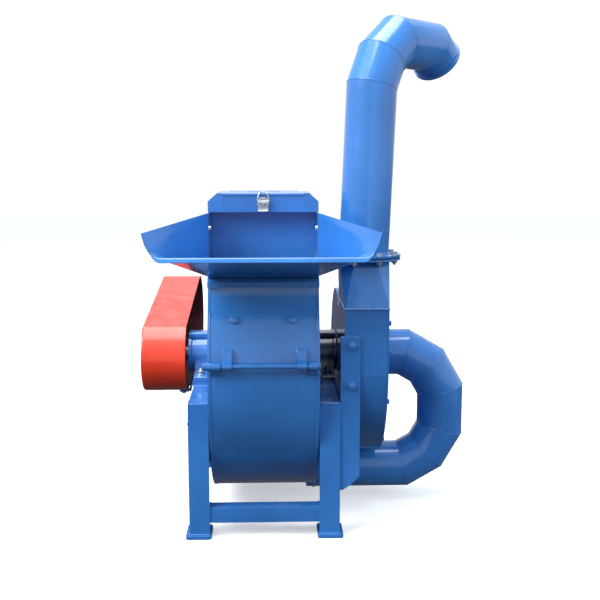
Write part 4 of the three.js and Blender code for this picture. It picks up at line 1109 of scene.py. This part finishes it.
def hopper_throat():
    x_in = (-146, 146)
    wall = [(THROAT_FRONT, flange_z(THROAT_FRONT)), (THROAT_FRONT, THROAT_TOP),
            (THROAT_BACK, THROAT_TOP), (THROAT_BACK, flange_z(THROAT_BACK))]
    form = Form(prism(wall, (-CASING_HALF, -146), "x"), prism(wall, (146, CASING_HALF), "x"))
    inner_wall = (THROAT_FRONT + 20, THROAT_FRONT + 24)
    form.add(box(x_in, inner_wall, (flange_z(THROAT_FRONT + 20), TRAY_BACK_Z - 1)))
    form.add(box(x_in, (THROAT_FRONT - 1, THROAT_FRONT + 24), (TRAY_BACK_Z - 4, TRAY_BACK_Z - 0.5)))
    form.add(box(x_in, (THROAT_BACK - 4, THROAT_BACK), (flange_z(THROAT_BACK) - 2, THROAT_TOP)))
    form.add(*throat_flange((0, 7.5), 150.6))
    piece("hopper_throat", form, "upper_casing", BLUE, ["hopper_throat"], bevel=0.5)
    flange_bolts = Form()
    for x in (-128, 128):
        y = THROAT_FRONT - 6
        up = Vector((0, -FLANGE_SLOPE, 1)).normalized()
        flange_bolts.add(*fastener((x, y, flange_z(y) - 6.3), -up, 6, washer=False))
    piece("throat_flange_bolts", flange_bolts, "upper_casing", BLUE)


def hood_ring(z, half, inset):
    crease, back = CREASE
    half = half - inset
    depth = back * (half + inset - crease) / (HOOD_HALF - crease)
    front = HOOD_FRONT + inset
    return [
        (-half, front + depth, z), (-crease, front, z), (crease, front, z), (half, front + depth, z),
        (half, HOOD_BACK - inset, z), (-half, HOOD_BACK - inset, z)]


def hood():
    low, top = THROAT_TOP + GAP, HOOD_TOP
    shoulder, rise = SHOULDER
    s = HOOD_SHEET
    loops = [
        hood_ring(low, HOOD_HALF, 0), hood_ring(rise, HOOD_HALF, 0), hood_ring(top, shoulder, 0),
        hood_ring(top, shoulder - 1, s), hood_ring(rise - 1, HOOD_HALF, s), hood_ring(low, HOOD_HALF, s)]
    form = Form(grid(loops + loops[:1], closed=True))
    for x in ((-100, -49), (49, 100)):
        form.add(*lid_knuckle(x))
    piece("hood", form, "upper_casing", BLUE, ["hood"], bevel=1.2, crease=8)
    seam = [(x, HOOD_BACK + 0.4, z) for x, z in ((-100, 941), (-49, 941))]
    other = [(-x, y, z) for x, y, z in seam]
    low_seam = [(-148, HOOD_BACK + 0.5, low + 1), (148, HOOD_BACK + 0.5, low + 1)]
    welds = Form(bead(seam, 4), bead(other, 4), bead(low_seam, 4))
    piece("hood_welds", welds, "upper_casing", BLUE, crease=60)


def lid_knuckle(x):
    """A strap rolled round the lid's hinge pin."""
    y, z = LID_PIN
    barrel = moved(tube(6, 3.4, (0, x[1] - x[0]), 28), aim((x[0], y, z), (1, 0, 0)))
    return [barrel, box(x, (HOOD_BACK - 0.2, y - 3), (z - 6, z - 3.2))]


def hood_lid():
    z0, z1 = HOOD_TOP + GAP, HOOD_TOP + GAP + HOOD_SHEET
    front = HOOD_FRONT - GAP - HOOD_SHEET
    side = front + 6
    outline = rounded([
        (-LID_HALF, HOOD_BACK, 2), (-LID_HALF, side, 3), (-112, front + 2, 2), (112, front + 2, 2),
        (LID_HALF, side, 3), (LID_HALF, HOOD_BACK, 2)])
    form = Form(prism(outline, (z0, z1), "z"))
    rolled = [(front + 2.2, z1), (front + 0.8, z1 - 0.5), (front + 0.1, z1 - 1.8), (front, z1 - 3)]
    fold = rolled + [
        (front, HOOD_TOP - 3), (front + HOOD_SHEET, HOOD_TOP - 3),
        (front + HOOD_SHEET, z0 - 0.1), (front + 3.4, z0 + 0.2)]
    form.add(prism(fold, (-112, 112), "x"))
    y, z = LID_PIN
    form.add(moved(tube(6, 3.4, (0, 96), 28), aim((-48, y, z), (1, 0, 0))))
    form.add(box((-48, 48), (HOOD_BACK - 3, y + 1), (z1 - 2.4, z + 5.9)))
    piece("hood_lid", form, "hood_lid", BLUE, ["hood_lid"], bevel=0.4)
    turns = [(-104, 0), (-104, 4.4), (-101, 5), (-101, 3), (101, 3), (101, 0)]
    pin = moved(turned(turns, 24), aim((0, y, z), (1, 0, 0)))
    piece("lid_hinge_pin", Form(pin), "upper_casing", ZINC, ["lid_hinge_pin"])


def latch():
    face = HOOD_FRONT - GAP
    shield = rounded([(-14, 902, 3), (14, 902, 3), (14, 941, 10), (-14, 941, 10)])
    base = plate(shield, [(-9, 906, 1.6), (9, 906, 1.6)], (face - 2, face), "y")
    form = Form(base)
    for x in ((-14, -12), (12, 14)):
        ear = rounded([(face - 10.6, 922, 3), (face - 10.6, 934, 4), (face - 1, 934, 0), (face - 1, 918, 0)])
        form.add(prism(ear, x, "x"))
    for x in (-9, 9):
        head = turned([(0, 0), (0, 2.8), (0.8, 2.5), (1.3, 1.6), (1.5, 0)], 20)
        form.add(moved(head, aim((x, face - 1.9, 907), (0, -1, 0))))
    piece("latch_base", form, "upper_casing", ZINC, ["latch_base"], bevel=0.3)
    y, z = LEVER_PIN
    profile = [(y - 5.8, z + 3.8), (y - 7.2, z + 3), (y - 7.8, z + 1), (y - 8.0, z - 3), (y - 8.2, z - 15),
               (y - 8.4, z - 17), (y - 9.6, z - 21), (y - 12, z - 24)]
    lever = Form()
    bars = profile[3:5]
    for part, span in (
            (profile[:4], (-13.6, 13.6)), (profile[4:], (-13.6, 13.6)),
            (bars, (-13.6, -10.4)), (bars, (-1.7, 1.7)), (bars, (10.4, 13.6))):
        lever.add(sheet([[(x, *p) for x in span] for p in part], 1.6))
    for x in ((-11.7, -10), (10, 11.7)):
        cheek = rounded([(y - 7, z + 2.6, 1), (y + 3, z + 3.8, 3), (y + 3, z - 11, 4), (y - 7, z - 20, 1)])
        lever.add(prism(cheek, x, "x"))
    lever.add(moved(turned([(-15.6, 0), (-15.6, 2.4), (-14.6, 3.1), (-14.2, 2), (14.2, 2), (14.6, 3.1),
                            (15.6, 2.4), (15.6, 0)], 24), aim((0, y, z), (1, 0, 0))))
    piece("latch_lever", lever, "latch_lever", ZINC, ["latch_lever"], bevel=0.2)
    y, z = BAIL_PIN
    top = HOOD_TOP + HOOD_SHEET + 2.4
    way_up = [
        (9.2, y, z), (14.2, y, z), (15.4, y - 0.1, z + 1.6), (15.6, y - 0.4, z + 6),
        (15.5, y - 1, z + 13), (14.4, y - 1, top - 12), (11.6, y - 0.8, top - 6), (9.6, y + 0.2, top - 1),
        (8.6, y + 3, top + 1.4), (7.4, HOOD_FRONT + 1, top + 0.6), (5, HOOD_FRONT + 4, top)]
    mirrored = [(-px, py, pz) for px, py, pz in way_up[::-1]]
    wire = sweep(resampled(way_up + [(0, HOOD_FRONT + 4, top)] + mirrored, 1.6), 1.9, 14)
    piece("latch_bail", Form(wire), "latch_bail", ZINC, ["latch_bail"])


feed_tray()
for word, way in SIDES:
    hopper_wing(word, way)
hopper_throat()
hood()
hood_lid()
latch()

# ------------------------------------------------------------------ rotor


def shaft():
    turns = [(-352, 0), (-352, 20), (-350, SHAFT_R), (-220, SHAFT_R)]
    turns += [(-140, SHAFT_R), (-140, 28.5), (-138.5, 30)]
    turns += [(138.5, 30), (140, 28.5), (140, SHAFT_R), (225, SHAFT_R), (226, 20), (321, 20), (322, 12)]
    turns += [(333, 12), (334, 11), (334, 0)]
    form = Form(along_x(turned(turns, 64)))
    form.add(box((-344, -268), (-6, 6), (SHAFT_Z + 18, SHAFT_Z + 24.6)))
    nut = moved(hex_head(36, 9), aim((322.5, 0, SHAFT_Z), (1, 0, 0)))
    form.add(nut)
    for x in (-352.2, 334.2):
        floor_x = x + math.copysign(0.6, -x)
        form.add(along_x(turned([(x, 3), (x, 5.5), (floor_x, 5.5), (floor_x, 3)], 20)))
    piece("main_shaft", form, "rotor", TURNED, ["main_shaft"], bevel=0.3)


def pin_place(k):
    angle = math.radians(45 + 90 * k)
    return PIN_CIRCLE * math.cos(angle), SHAFT_Z + PIN_CIRCLE * math.sin(angle)


def rotor_discs():
    for i, x in enumerate(DISC_X):
        holes = [(*pin_place(k), PIN_R + 0.4) for k in range(4)]
        form = Form(plate(arc(AXIS, 198, 0, 360 * 95 / 96, 95), holes, (x - 4, x + 4), "x"))
        hub = turned([
            (x - 16, 30.2), (x - 16, 44.5), (x - 14.5, 46),
            (x + 14.5, 46), (x + 16, 44.5), (x + 16, 30.2)], 48)
        form.add(along_x(hub))
        for way in (-1, 1):
            ring = [(x + way * 4.3, y, z) for y, z in arc(AXIS, 47, 0, 356, 90)]
            form.add(bead(ring, 5, closed=True))
        name = "rotor_disc_" + str(i + 1)
        piece(name, form, "rotor", WEAR, [name], bevel=0.5)


def hammer_pins():
    for k in range(4):
        y, z = pin_place(k)
        turns = [(-137, 0), (-137, 12), (-135.5, 13.5), (-130, 13.5), (-129, 12.5), (-129, PIN_R)]
        turns += [(131, PIN_R), (132, PIN_R - 1), (132, 0)]
        form = Form(moved(turned(turns, 32), aim((0, y, z), (1, 0, 0))))
        name = "hammer_pin_" + str(k + 1)
        piece(name, form, "rotor", TURNED, [name])


def hammers():
    for k in range(4):
        py, pz = pin_place(k)
        angle = math.radians(45 + 90 * k)
        out = Vector((math.cos(angle), math.sin(angle)))
        side = Vector((-out.y, out.x))
        for lane, x in enumerate(HAMMER_LANES[k % 2]):
            outline = []
            for u, v in rectangle((-28, 135), (-25, 25), 7):
                worn = 1.6 * noise.noise(Vector((u * 0.06, v * 0.09, k * 3.1 + lane))) if u > 120 else 0
                p = out * (u - abs(worn)) + side * v
                outline.append((py + p.x, pz + p.y))
            form = Form(plate(outline, [(py, pz, PIN_R + 0.8)], (x - 3, x + 3), "x"))
            name = "hammer_" + str(k + 1) + "abc"[lane]
            piece(name, form, name, WEAR, [name], bevel=0.7)


def impeller():
    turns = [(232, 20.4), (232, 162), (236, 162), (236, 40), (298, 40), (300, 38), (300, 20.4)]
    form = Form(along_x(turned(turns, 72)))
    for k in range(6):
        turn = Matrix.Rotation(math.radians(60 * k), 4, "X")
        blade = rounded([(234, 38, 0), (322, 38, 0), (322, 150, 8), (312, 166, 6), (234, 166, 2)])
        slab = prism([(u, v) for u, v in blade], (-2.5, 2.5), "y")
        put = Matrix.Translation((0, 0, SHAFT_Z)) @ turn
        form.add(moved(slab, put))
        for way in (-3.4, 3.4):
            form.add(moved(bead([(236.6, way, 44), (236.6, way, 160)], 4), put))
    piece("fan_impeller", form, "rotor", CAST, ["fan_impeller"], bevel=0.4)


def mill_pulley():
    start, width, r, root = PULLEY
    profile = [
        (start, SHAFT_R + 0.2), (start, 34), (start + 9, 36), (start + 9, root - 10),
        (start, root - 8), (start, r - 1), (start + 1, r)]
    for groove in range(4):
        x = start + 6 + groove * 19
        profile += [(x - 0.6, r), (x, r - 0.6), (x + 4, root)]
        profile += [(x + 10, root), (x + 14, r - 0.6), (x + 14.6, r)]
    end = start + width
    profile += [(end - 1, r), (end, r - 1), (end, SHAFT_R + 0.2)]
    piece("mill_pulley", Form(along_x(turned(profile, 72))), "rotor", CAST, ["mill_pulley"])


# ------------------------------------------------------------------ bearings

HOUSING_START = 154
HOUSING_END = {"left": 230, "right": 218}


def bearing_housing(word, way, finish):
    """A cast pillow block: a barrel on a foot, a flat strip along its top and a grease nipple."""
    def x(*pair):
        return sorted(way * v for v in pair)

    foot_z = 396.3
    form = Form()
    end = HOUSING_END[word]
    foot = rounded([
        (-130, foot_z, 1), (130, foot_z, 1), (130, 409, 3),
        (84, 414, 6), (-84, 414, 6), (-130, 409, 3)])
    form.add(prism(foot, x(168.5, 209), "x"))
    saddle = [(62, foot_z + 8), (59, 430)] + arc(AXIS, 56, -10, 190, 48) + [(-59, 430), (-62, foot_z + 8)]
    form.add(prism_ring(saddle, BEARING_R + 0.3, x(168, 210)))
    barrel = (
        (HOUSING_START, BEARING_R + 2), (HOUSING_START, 55), (HOUSING_START + 6, 58),
        (HOUSING_START + 12, 55), (end - 12, 55), (end - 8, 58), (end, 58), (end, BEARING_R + 2))
    form.add(along_x(turned([(way * a, r) for a, r in barrel], 72)))
    form.add(prism(rectangle((-30, 30), (506, 522), 3), x(HOUSING_START + 1, end - 1), "x"))
    name = "bearing_housing_" + word
    piece(name, form, "machine", finish, [name], bevel=1.4, crease=28)
    bolts = Form()
    for y in (-100, 100):
        bolts.add(*fastener((way * 189, y, 411.5), (0, 0, 1), 13, stud=7))
    piece("bearing_bolts_" + word, bolts, "machine", finish if way > 0 else ZINC, bevel=0.4)
    turns = [(0, 0), (0, 5), (4, 5), (4, 3.2), (8, 3.2), (9, 2), (11, 2.6), (12.4, 1.8), (12.8, 0)]
    nipple = moved(turned(turns, 20), aim((way * 163, -34, SHAFT_Z + 42), (0, -0.75, 1)))
    piece("grease_nipple_" + word, Form(nipple), "machine", ZINC)


def prism_ring(outline, hole, x):
    """An outline in (y, z) with the bearing's bore through it, given thickness along x."""
    return plate(outline, [(0, SHAFT_Z, hole)], x, "x")


def bearing(word, way):
    """Self-aligning ball bearing: outer race, inner race on the shaft, sealed between."""
    r = BEARING_R
    turns = [(172, r - 7), (172, r - 1), (173, r), (206, r)]
    turns += [(207, r - 1), (207, r - 7), (204, r - 7.6), (175, r - 7.6)]
    inner = [(172, 22.8), (172, 29), (173, 30), (206, 30), (207, 29), (207, 22.8)]
    form = Form(*[along_x(turned([(way * a, b) for a, b in t], 56)) for t in (turns, inner)])
    piece("bearing_" + word, form, "machine", TURNED, ["bearing_" + word])
    seal = [(175.5, 30.1), (174.6, 32), (174.6, 34.5), (175.5, 35.3)]
    seal += [(203.5, 35.3), (204.4, 34.5), (204.4, 32), (203.5, 30.1)]
    ring = along_x(turned([(way * a, b) for a, b in seal], 56))
    piece("bearing_seal_" + word, Form(ring), "machine", RUBBER)


shaft()
rotor_discs()
hammer_pins()
hammers()
impeller()
mill_pulley()
for (word, way), finish in zip(SIDES, (BLUE, DARK)):
    bearing_housing(word, way, finish)
    bearing(word, way)

# ------------------------------------------------------------------ belt guard


GUARD_BEND = (-45, 545)


def guard_outline(inset):
    """A bent nose, a tail arc and the straight runs between them, in (y, z)."""
    a, b = GUARD_NOSE, GUARD_TAIL
    heading = math.degrees(math.atan2(b[1] - a[1], b[0] - a[0]))
    spread = math.degrees(math.acos((a[2] - b[2]) / math.hypot(b[0] - a[0], b[1] - a[1])))
    bend = Vector((GUARD_BEND[0] + inset * 0.6, GUARD_BEND[1] - inset))
    low = Vector(arc(a[:2], a[2] - inset, 170, 170, 1)[0])
    knee = low + Vector((0.17, 0.98)) * 55
    outline = []
    for k in range(13):
        s = k / 12
        outline.append(tuple(bend * (1 - s) ** 2 + knee * 2 * s * (1 - s) + low * s ** 2))
    outline += arc(a[:2], a[2] - inset, 174, heading + 360 - spread, 30)
    return outline + arc(b[:2], b[2] - inset, heading - spread, heading + spread, 48)


def belt_guard():
    x0, x1 = GUARD_X
    s = GUARD_SHEET
    levels = [(x1, s), (x1, 0), (x0 + 5, 0), (x0 + 2.2, 0.8), (x0 + 0.6, 2.6), (x0, 5)]
    inner = [(x0 + s, 8), (x0 + s + 1.6, 6.4), (x0 + s + 4, 5.6), (x1 + 0.4, s + 0.4), (x1 + 0.4, s + 0.1)]
    inner.append((x0 + s - 0.6, 5.2))
    loops = [[(x, y, z) for y, z in guard_outline(inset)] for x, inset in levels]
    back = [[(x, y, z) for y, z in guard_outline(inset)] for x, inset in inner]
    count = len(loops[0])
    form = Form(grid(loops + [[(x1, y, z) for y, z in guard_outline(s)]], closed=True))
    first = (len(levels) - 1) * count
    form.faces.append(list(range(first, first + count)))
    piece("belt_guard", form, "machine", RED, ["belt_guard"], crease=15)
    # painted shade: the guard's inner faces are coloured dark red for the shade inside the guard
    shaded_inside = Form(grid(back, closed=True))
    shaded_inside.faces.append(list(range(count)))
    last = (len(inner) - 1) * count
    shaded_inside.faces.append(list(range(last, last + count)))
    piece("guard_inside_shaded", shaded_inside, "machine", SHADED_GUARD_INSIDE, crease=15)


belt_guard()

# ------------------------------------------------------------------ blower

def scroll_outline(inset, top):
    points = []
    for i in range(81):
        turn = 300 * i / 80
        radius = SCROLL_R - SCROLL_TIGHTEN * turn / 270 - inset
        angle = math.radians(turn)
        points.append((-radius * math.cos(angle), SHAFT_Z - radius * math.sin(angle)))
    points += [(OUTLET_BACK - inset, OUTLET_Z - 8), (OUTLET_BACK - inset, top), (-SCROLL_R + inset, top)]
    return points


def fan():
    x0, x1 = FAN_X[0], FAN_X[1] - FAN_SHEET
    band = scroll_outline(0, OUTLET_Z)
    inner = scroll_outline(FAN_SHEET, OUTLET_Z)
    outer_rows = [[(x, y, z) for y, z in band[:-1]] for x in (x0 + 1, x1)]
    inner_rows = [[(x, y, z) for y, z in inner[:-1]] for x in (x1, x0 + 1)]
    form = Form(grid(outer_rows + inner_rows + outer_rows[:1]))
    form.add(box((x0 + 1, x1), (-SCROLL_R, -SCROLL_R + FAN_SHEET), (SHAFT_Z - 2, OUTLET_Z)))
    form.add(plate(scroll_outline(-0.8, OUTLET_Z), [(0, SHAFT_Z, SHAFT_R + 4)], (x0, x0 + FAN_SHEET), "x"))
    piece("fan_housing", form, "machine", BLUE, ["fan_housing"], bevel=0.5)
    eye = DUCT_R - DUCT_WALL - GAP
    cover = Form(plate(scroll_outline(-0.8, OUTLET_Z), [(0, SHAFT_Z, eye - DUCT_WALL)], (x1, FAN_X[1]), "x"))
    cover.add(along_x(tube(eye, eye - DUCT_WALL, (FAN_X[1] - 1, FAN_X[1] + 26))))
    ring = [(FAN_X[1] + 0.4, y, z) for y, z in arc(AXIS, eye + 0.4, 0, 357, 119)]
    piece("fan_inlet_plate", cover, "machine", BLUE, ["fan_inlet_plate"], bevel=0.5)
    welds = Form(bead(ring, 5, closed=True))
    for x in (x0 + FAN_SHEET + 0.3, x1 - 0.3):
        welds.add(bead([(x, y, z) for y, z in scroll_outline(-0.2, OUTLET_Z)[:82]], 3.6))
    piece("fan_welds", welds, "machine", BLUE, crease=60)
    bolts = Form()
    for i in range(4, 80, 9):
        y, z = scroll_outline(13, OUTLET_Z)[i]
        bolts.add(*fastener((FAN_X[1], y, z), (1, 0, 0), 8))
    for y, z in ((-SCROLL_R + 14, 520), (-SCROLL_R + 14, 600), (OUTLET_BACK - 14, 626)):
        bolts.add(*fastener((FAN_X[1], y, z), (1, 0, 0), 8))
    piece("fan_cover_bolts", bolts, "machine", BLUE, bevel=0.3)


def support_plate():
    y = (-SCROLL_R - GAP - 8, -SCROLL_R - GAP)
    inner, outer = FRAME_OUT + GAP, 263
    outline = rounded([
        (inner, 134, 1), (inner + 8, 134, 2), (outer - 21, 151, 6),
        (outer, 173, 8), (outer, 566, 3), (inner, 566, 2)])
    form = Form(prism(outline, y, "y"))
    piece("fan_support_plate", form, "machine", BLUE, ["fan_support_plate"], bevel=0.8)
    bolts = Form()
    for z in (541, 430):
        bolts.add(*fastener((240, y[0], z), (0, -1, 0), 12))
    piece("support_bolts", bolts, "machine", BLUE, bevel=0.4)
    weld = bead([(inner + 1, y[0] + 2, 140), (inner + 1, y[0] + 2, BEAM_TOP - 6)], 6)
    piece("support_weld", Form(weld), "machine", BLUE, crease=60)


def loft(x, y, radius, z):
    """Rectangle to octagon in sheet metal: four flat sides and four flat corner triangles."""
    corners = [(x[1], y[1]), (x[0], y[1]), (x[0], y[0]), (x[1], y[0])]
    points = [(cx, cy, z[0]) for cx, cy in corners]
    faces = []
    for i in range(8):
        angle = math.radians(22.5 + 45 * i)
        reach = radius / math.cos(math.radians(22.5))
        points.append((DUCT_AXIS[0] + reach * math.cos(angle), DUCT_AXIS[1] + reach * math.sin(angle), z[1]))
    for corner in range(4):
        first, second = 4 + 2 * corner, 5 + 2 * corner
        faces.append([corner, second, first])
        faces.append([corner, (corner + 1) % 4, 4 + (2 * corner + 2) % 8, second])
    return points, faces


def bolt_places(radius=90):
    for k in range(8):
        angle = math.radians(45 * (k + 0.5))
        yield DUCT_AXIS[0] + radius * math.cos(angle), DUCT_AXIS[1] + radius * math.sin(angle)


def flange_plate(radius, bore, z):
    outline = arc(DUCT_AXIS, radius, 0, 360 * 95 / 96, 95)
    holes = [(DUCT_AXIS[0], DUCT_AXIS[1], bore)] + [(x, y, 5.5) for x, y in bolt_places()]
    return plate(outline, holes, z, "z")


def transition():
    y = (-SCROLL_R, OUTLET_BACK)
    z = (OUTLET_Z + GAP, DUCT_FLANGE_Z)
    outer = loft(FAN_X, y, DUCT_R, z)
    inner = loft((FAN_X[0] + 3, FAN_X[1] - 3), (y[0] + 3, y[1] - 3), DUCT_R - 3, z)
    rim = []
    for i in range(4):
        j = (i + 1) % 4
        rim.append(([outer[0][i], outer[0][j], inner[0][j], inner[0][i]], [[0, 1, 2, 3]]))
    form = Form(outer, inner, *rim)
    form.add(flange_plate(DUCT_FLANGE_R, DUCT_R - 3, (DUCT_FLANGE_Z - 6, DUCT_FLANGE_Z)))
    piece("outlet_transition", form, "machine", BLUE, ["outlet_transition"], bevel=0.5, crease=12)
    low = [(FAN_X[0], y[0]), (FAN_X[1], y[0]), (FAN_X[1], y[1]), (FAN_X[0], y[1])]
    welds = Form(bead([(a, b, OUTLET_Z + 0.2) for a, b in low], 5, closed=True))
    ring = [(px, py, DUCT_FLANGE_Z - 6.6) for px, py, _ in outer[0][4:]]
    welds.add(bead(ring, 5, closed=True))
    piece("transition_welds", welds, "machine", BLUE, crease=60)
    gasket_z = (DUCT_FLANGE_Z + GAP, DUCT_FLANGE_Z + GAP + 3)
    gasket = Form(flange_plate(DUCT_FLANGE_R - 2, DUCT_R, gasket_z))
    piece("duct_gasket", gasket, "machine", RUBBER, ["duct_gasket"])
    bolts = Form()
    for a, b in bolt_places():
        bolts.add(*fastener((a, b, PIPE_Z + 6), (0, 0, 1), 9.5))
        bolts.add(*fastener((a, b, DUCT_FLANGE_Z - 6), (0, 0, -1), 9.5, stud=5))
        bolts.add(moved(rod(4.7, (DUCT_FLANGE_Z - 7, PIPE_Z + 7)), Matrix.Translation((a, b, 0))))
    piece("duct_flange_bolts", bolts, "machine", ZINC, bevel=0.3)


def discharge_path():
    lean = math.radians(PIPE_LEAN)
    heading = math.radians(ELBOW_HEADING)
    up = Vector((math.sin(lean), 0, math.cos(lean)))
    out = Vector((math.cos(heading), math.sin(heading), 0))
    out = (out - up * out.dot(up)).normalized()
    path = [Vector((*DUCT_AXIS, PIPE_Z))]
    path.append(path[0] + up * ((ELBOW_Z - PIPE_Z) / up.z))
    for turn, length in ELBOW_PIECES:
        angle = math.radians(turn)
        path.append(path[-1] + (up * math.cos(angle) + out * math.sin(angle)) * length)
    return path


def duct_welds(path, radius, width=2.6):
    rings = mitred_rings(path, radius - 0.5, 120)
    return [bead(ring, width, closed=True) for ring in rings[1:-1]]


def discharge_pipe():
    path = discharge_path()
    form = Form(duct(path, DUCT_R, DUCT_WALL))
    form.add(flange_plate(DUCT_FLANGE_R, DUCT_R - 1, (PIPE_Z, PIPE_Z + 6)))
    tip = (path[-1] - path[-2]).normalized()
    ring = turned([
        (-12, DUCT_R - 0.5), (-12, DUCT_R + 3), (-11, DUCT_R + 4),
        (-1, DUCT_R + 4), (0, DUCT_R + 3), (0, DUCT_R - 0.5)], 72)
    form.add(moved(ring, aim(path[-1], tip)))
    piece("discharge_pipe", form, "machine", BLUE, ["discharge_pipe"], bevel=0.5, crease=20)
    welds = Form(*duct_welds(path, DUCT_R))
    foot = [(a, b, PIPE_Z + 6.6) for a, b in arc(DUCT_AXIS, DUCT_R + 1.8, 0, 357, 119)]
    welds.add(bead(foot, 6, closed=True))
    seam = [path[0].lerp(path[1], t / 20) + Vector((0, DUCT_R - 0.4, 0)) for t in range(21)]
    welds.add(bead(seam, 3.0))
    piece("discharge_welds", welds, "machine", BLUE, crease=60)


def quarter(start, first, second):
    """Corner points of a quarter bend made of mitred pieces."""
    step = LOOP_R * math.tan(math.pi / 12)
    points, at = [], Vector(start)
    for k in range(3):
        angle = math.radians(30 * k)
        way = Vector(first) * math.cos(angle) + Vector(second) * math.sin(angle)
        at = at + way * (step if k == 0 else 2 * step)
        points.append(at)
    return points


def suction_bend():
    path = [Vector((FAN_X[1] + GAP, 0, SHAFT_Z))]
    path += quarter((LOOP_X - LOOP_R, 0, SHAFT_Z), (1, 0, 0), (0, 0, -1))
    path += quarter((LOOP_X, 0, LOOP_LOW_Z + LOOP_R), (0, 0, -1), (-1, 0, 0))
    path.append(Vector((SPIGOT_X[1] + GAP, 0, LOOP_LOW_Z)))
    bend = Form(duct(path, DUCT_R, DUCT_WALL))
    piece("suction_bend", bend, "machine", BLUE, ["suction_bend"], bevel=0.5, crease=20)
    welds = Form(*duct_welds(path, DUCT_R))
    for x, z in ((FAN_X[1] + 1.4, SHAFT_Z), (SPIGOT_X[1] + 0.2, LOOP_LOW_Z)):
        ring = [(x, y, h) for y, h in arc((0, z), DUCT_R + 0.4, 0, 357, 119)]
        welds.add(bead(ring, 5, closed=True))
    piece("suction_welds", welds, "machine", BLUE, crease=60)


fan()
support_plate()
transition()
discharge_pipe()
suction_bend()

# ------------------------------------------------------------------ floor, light and camera

FLOOR_REACH = 16.0  # metres from the middle to each edge of the floor


def stage_material(name, colour, roughness):
    n = Nodes(name)
    light = tuple(min(1, c * 1.02) for c in colour)
    n.link(n.mix(n.remap(n.noise(3.0), 0.3, 0.7), colour, light), n.shader.inputs["Base Color"])
    n.shader.inputs["Roughness"].default_value = roughness
    n.shader.inputs["Emission Color"].default_value = (1, 1, 1, 1)
    n.shader.inputs["Emission Strength"].default_value = 0.42
    return n.material


def sky():
    """White to the camera; a dim ground, a bright horizon and a soft blue sky to everything else."""
    world = bpy.data.worlds.new("studio_world")
    world.use_nodes = True
    tree = world.node_tree
    way = tree.nodes.new("ShaderNodeTexCoord").outputs["Generated"]
    split = tree.nodes.new("ShaderNodeSeparateXYZ")
    tree.links.new(way, split.inputs[0])
    spread = tree.nodes.new("ShaderNodeMapRange")
    spread.inputs["From Min"].default_value = -1.0
    tree.links.new(split.outputs["Z"], spread.inputs["Value"])
    ramp = tree.nodes.new("ShaderNodeValToRGB")
    bands = ramp.color_ramp.elements
    bands[0].position, bands[0].color = 0.0, (0.09, 0.10, 0.11, 1)
    bands[1].position, bands[1].color = 1.0, (0.62, 0.80, 1.0, 1)
    for position, colour in (
            (0.46, (0.14, 0.15, 0.17, 1)), (0.50, (0.92, 0.93, 0.95, 1)),
            (0.56, (1.0, 1.0, 1.0, 1)), (0.72, (0.72, 0.86, 1.0, 1))):
        band = bands.new(position)
        band.color = colour
    tree.links.new(spread.outputs["Result"], ramp.inputs["Fac"])
    mix = tree.nodes.new("ShaderNodeMix")
    mix.data_type = "RGBA"
    seen = tree.nodes.new("ShaderNodeLightPath").outputs["Is Camera Ray"]
    tree.links.new(seen, mix.inputs["Factor"])
    tree.links.new(ramp.outputs["Color"], mix.inputs[6])
    mix.inputs[7].default_value = (1.2, 1.2, 1.2, 1)
    tree.links.new(mix.outputs[2], tree.nodes["Background"].inputs["Color"])
    tree.nodes["Background"].inputs["Strength"].default_value = 0.85
    return world


def studio():
    scene = bpy.context.scene
    low, high = cad_box
    mesh = bpy.data.meshes.new("studio_floor")
    profile = [(-FLOOR_REACH, 0.0), (0.0, 0.0), (FLOOR_REACH, 0.0)]
    points, faces = grid([[Vector((x, y, z)) for y, z in profile] for x in (-FLOOR_REACH, FLOOR_REACH)])
    mesh.from_pydata(points, [], faces)
    mesh.shade_smooth()
    floor = bpy.data.objects.new("studio_floor", mesh)
    scene.collection.objects.link(floor)
    mesh.materials.append(stage_material("studio_white", (0.86, 0.86, 0.86), 0.7))
    floor.visible_glossy = False
    floor.visible_diffuse = False
    scene.world = sky()
    centre = (low + high) / 2
    for name, spot, size, power in (
            ("key_light", (-2.8, -2.2, 3.2), (2.4, 2.2), 200),
            ("side_light", (3.2, -1.4, 1.4), (1.0, 2.0), 50),
            ("top_light", (-0.5, -0.3, 4.4), (3.0, 3.0), 170)):
        data = bpy.data.lights.new(name, "AREA")
        data.shape = "RECTANGLE"
        data.size, data.size_y = size
        data.energy = power
        lamp = bpy.data.objects.new(name, data)
        lamp.location = spot
        lamp.rotation_mode = "QUATERNION"
        lamp.rotation_quaternion = (centre - Vector(spot)).to_track_quat("-Z", "Y")
        lamp.visible_glossy = name != "side_light"
        scene.collection.objects.link(lamp)
    scene.view_settings.view_transform = "Standard"


def camera():
    pitch, yaw = math.radians(8.34), math.radians(1.86)
    data = bpy.data.cameras.new("camera")
    data.lens = 55.6
    data.sensor_width = 36
    eye = bpy.data.objects.new("camera", data)
    eye.location = place((18, -2806.6, 1030.2))
    ahead = Vector((math.sin(yaw) * math.cos(pitch), math.cos(yaw) * math.cos(pitch), -math.sin(pitch)))
    eye.rotation_mode = "QUATERNION"
    eye.rotation_quaternion = ahead.to_track_quat("-Z", "Y")
    bpy.context.scene.collection.objects.link(eye)
    bpy.context.scene.camera = eye


studio()
camera()
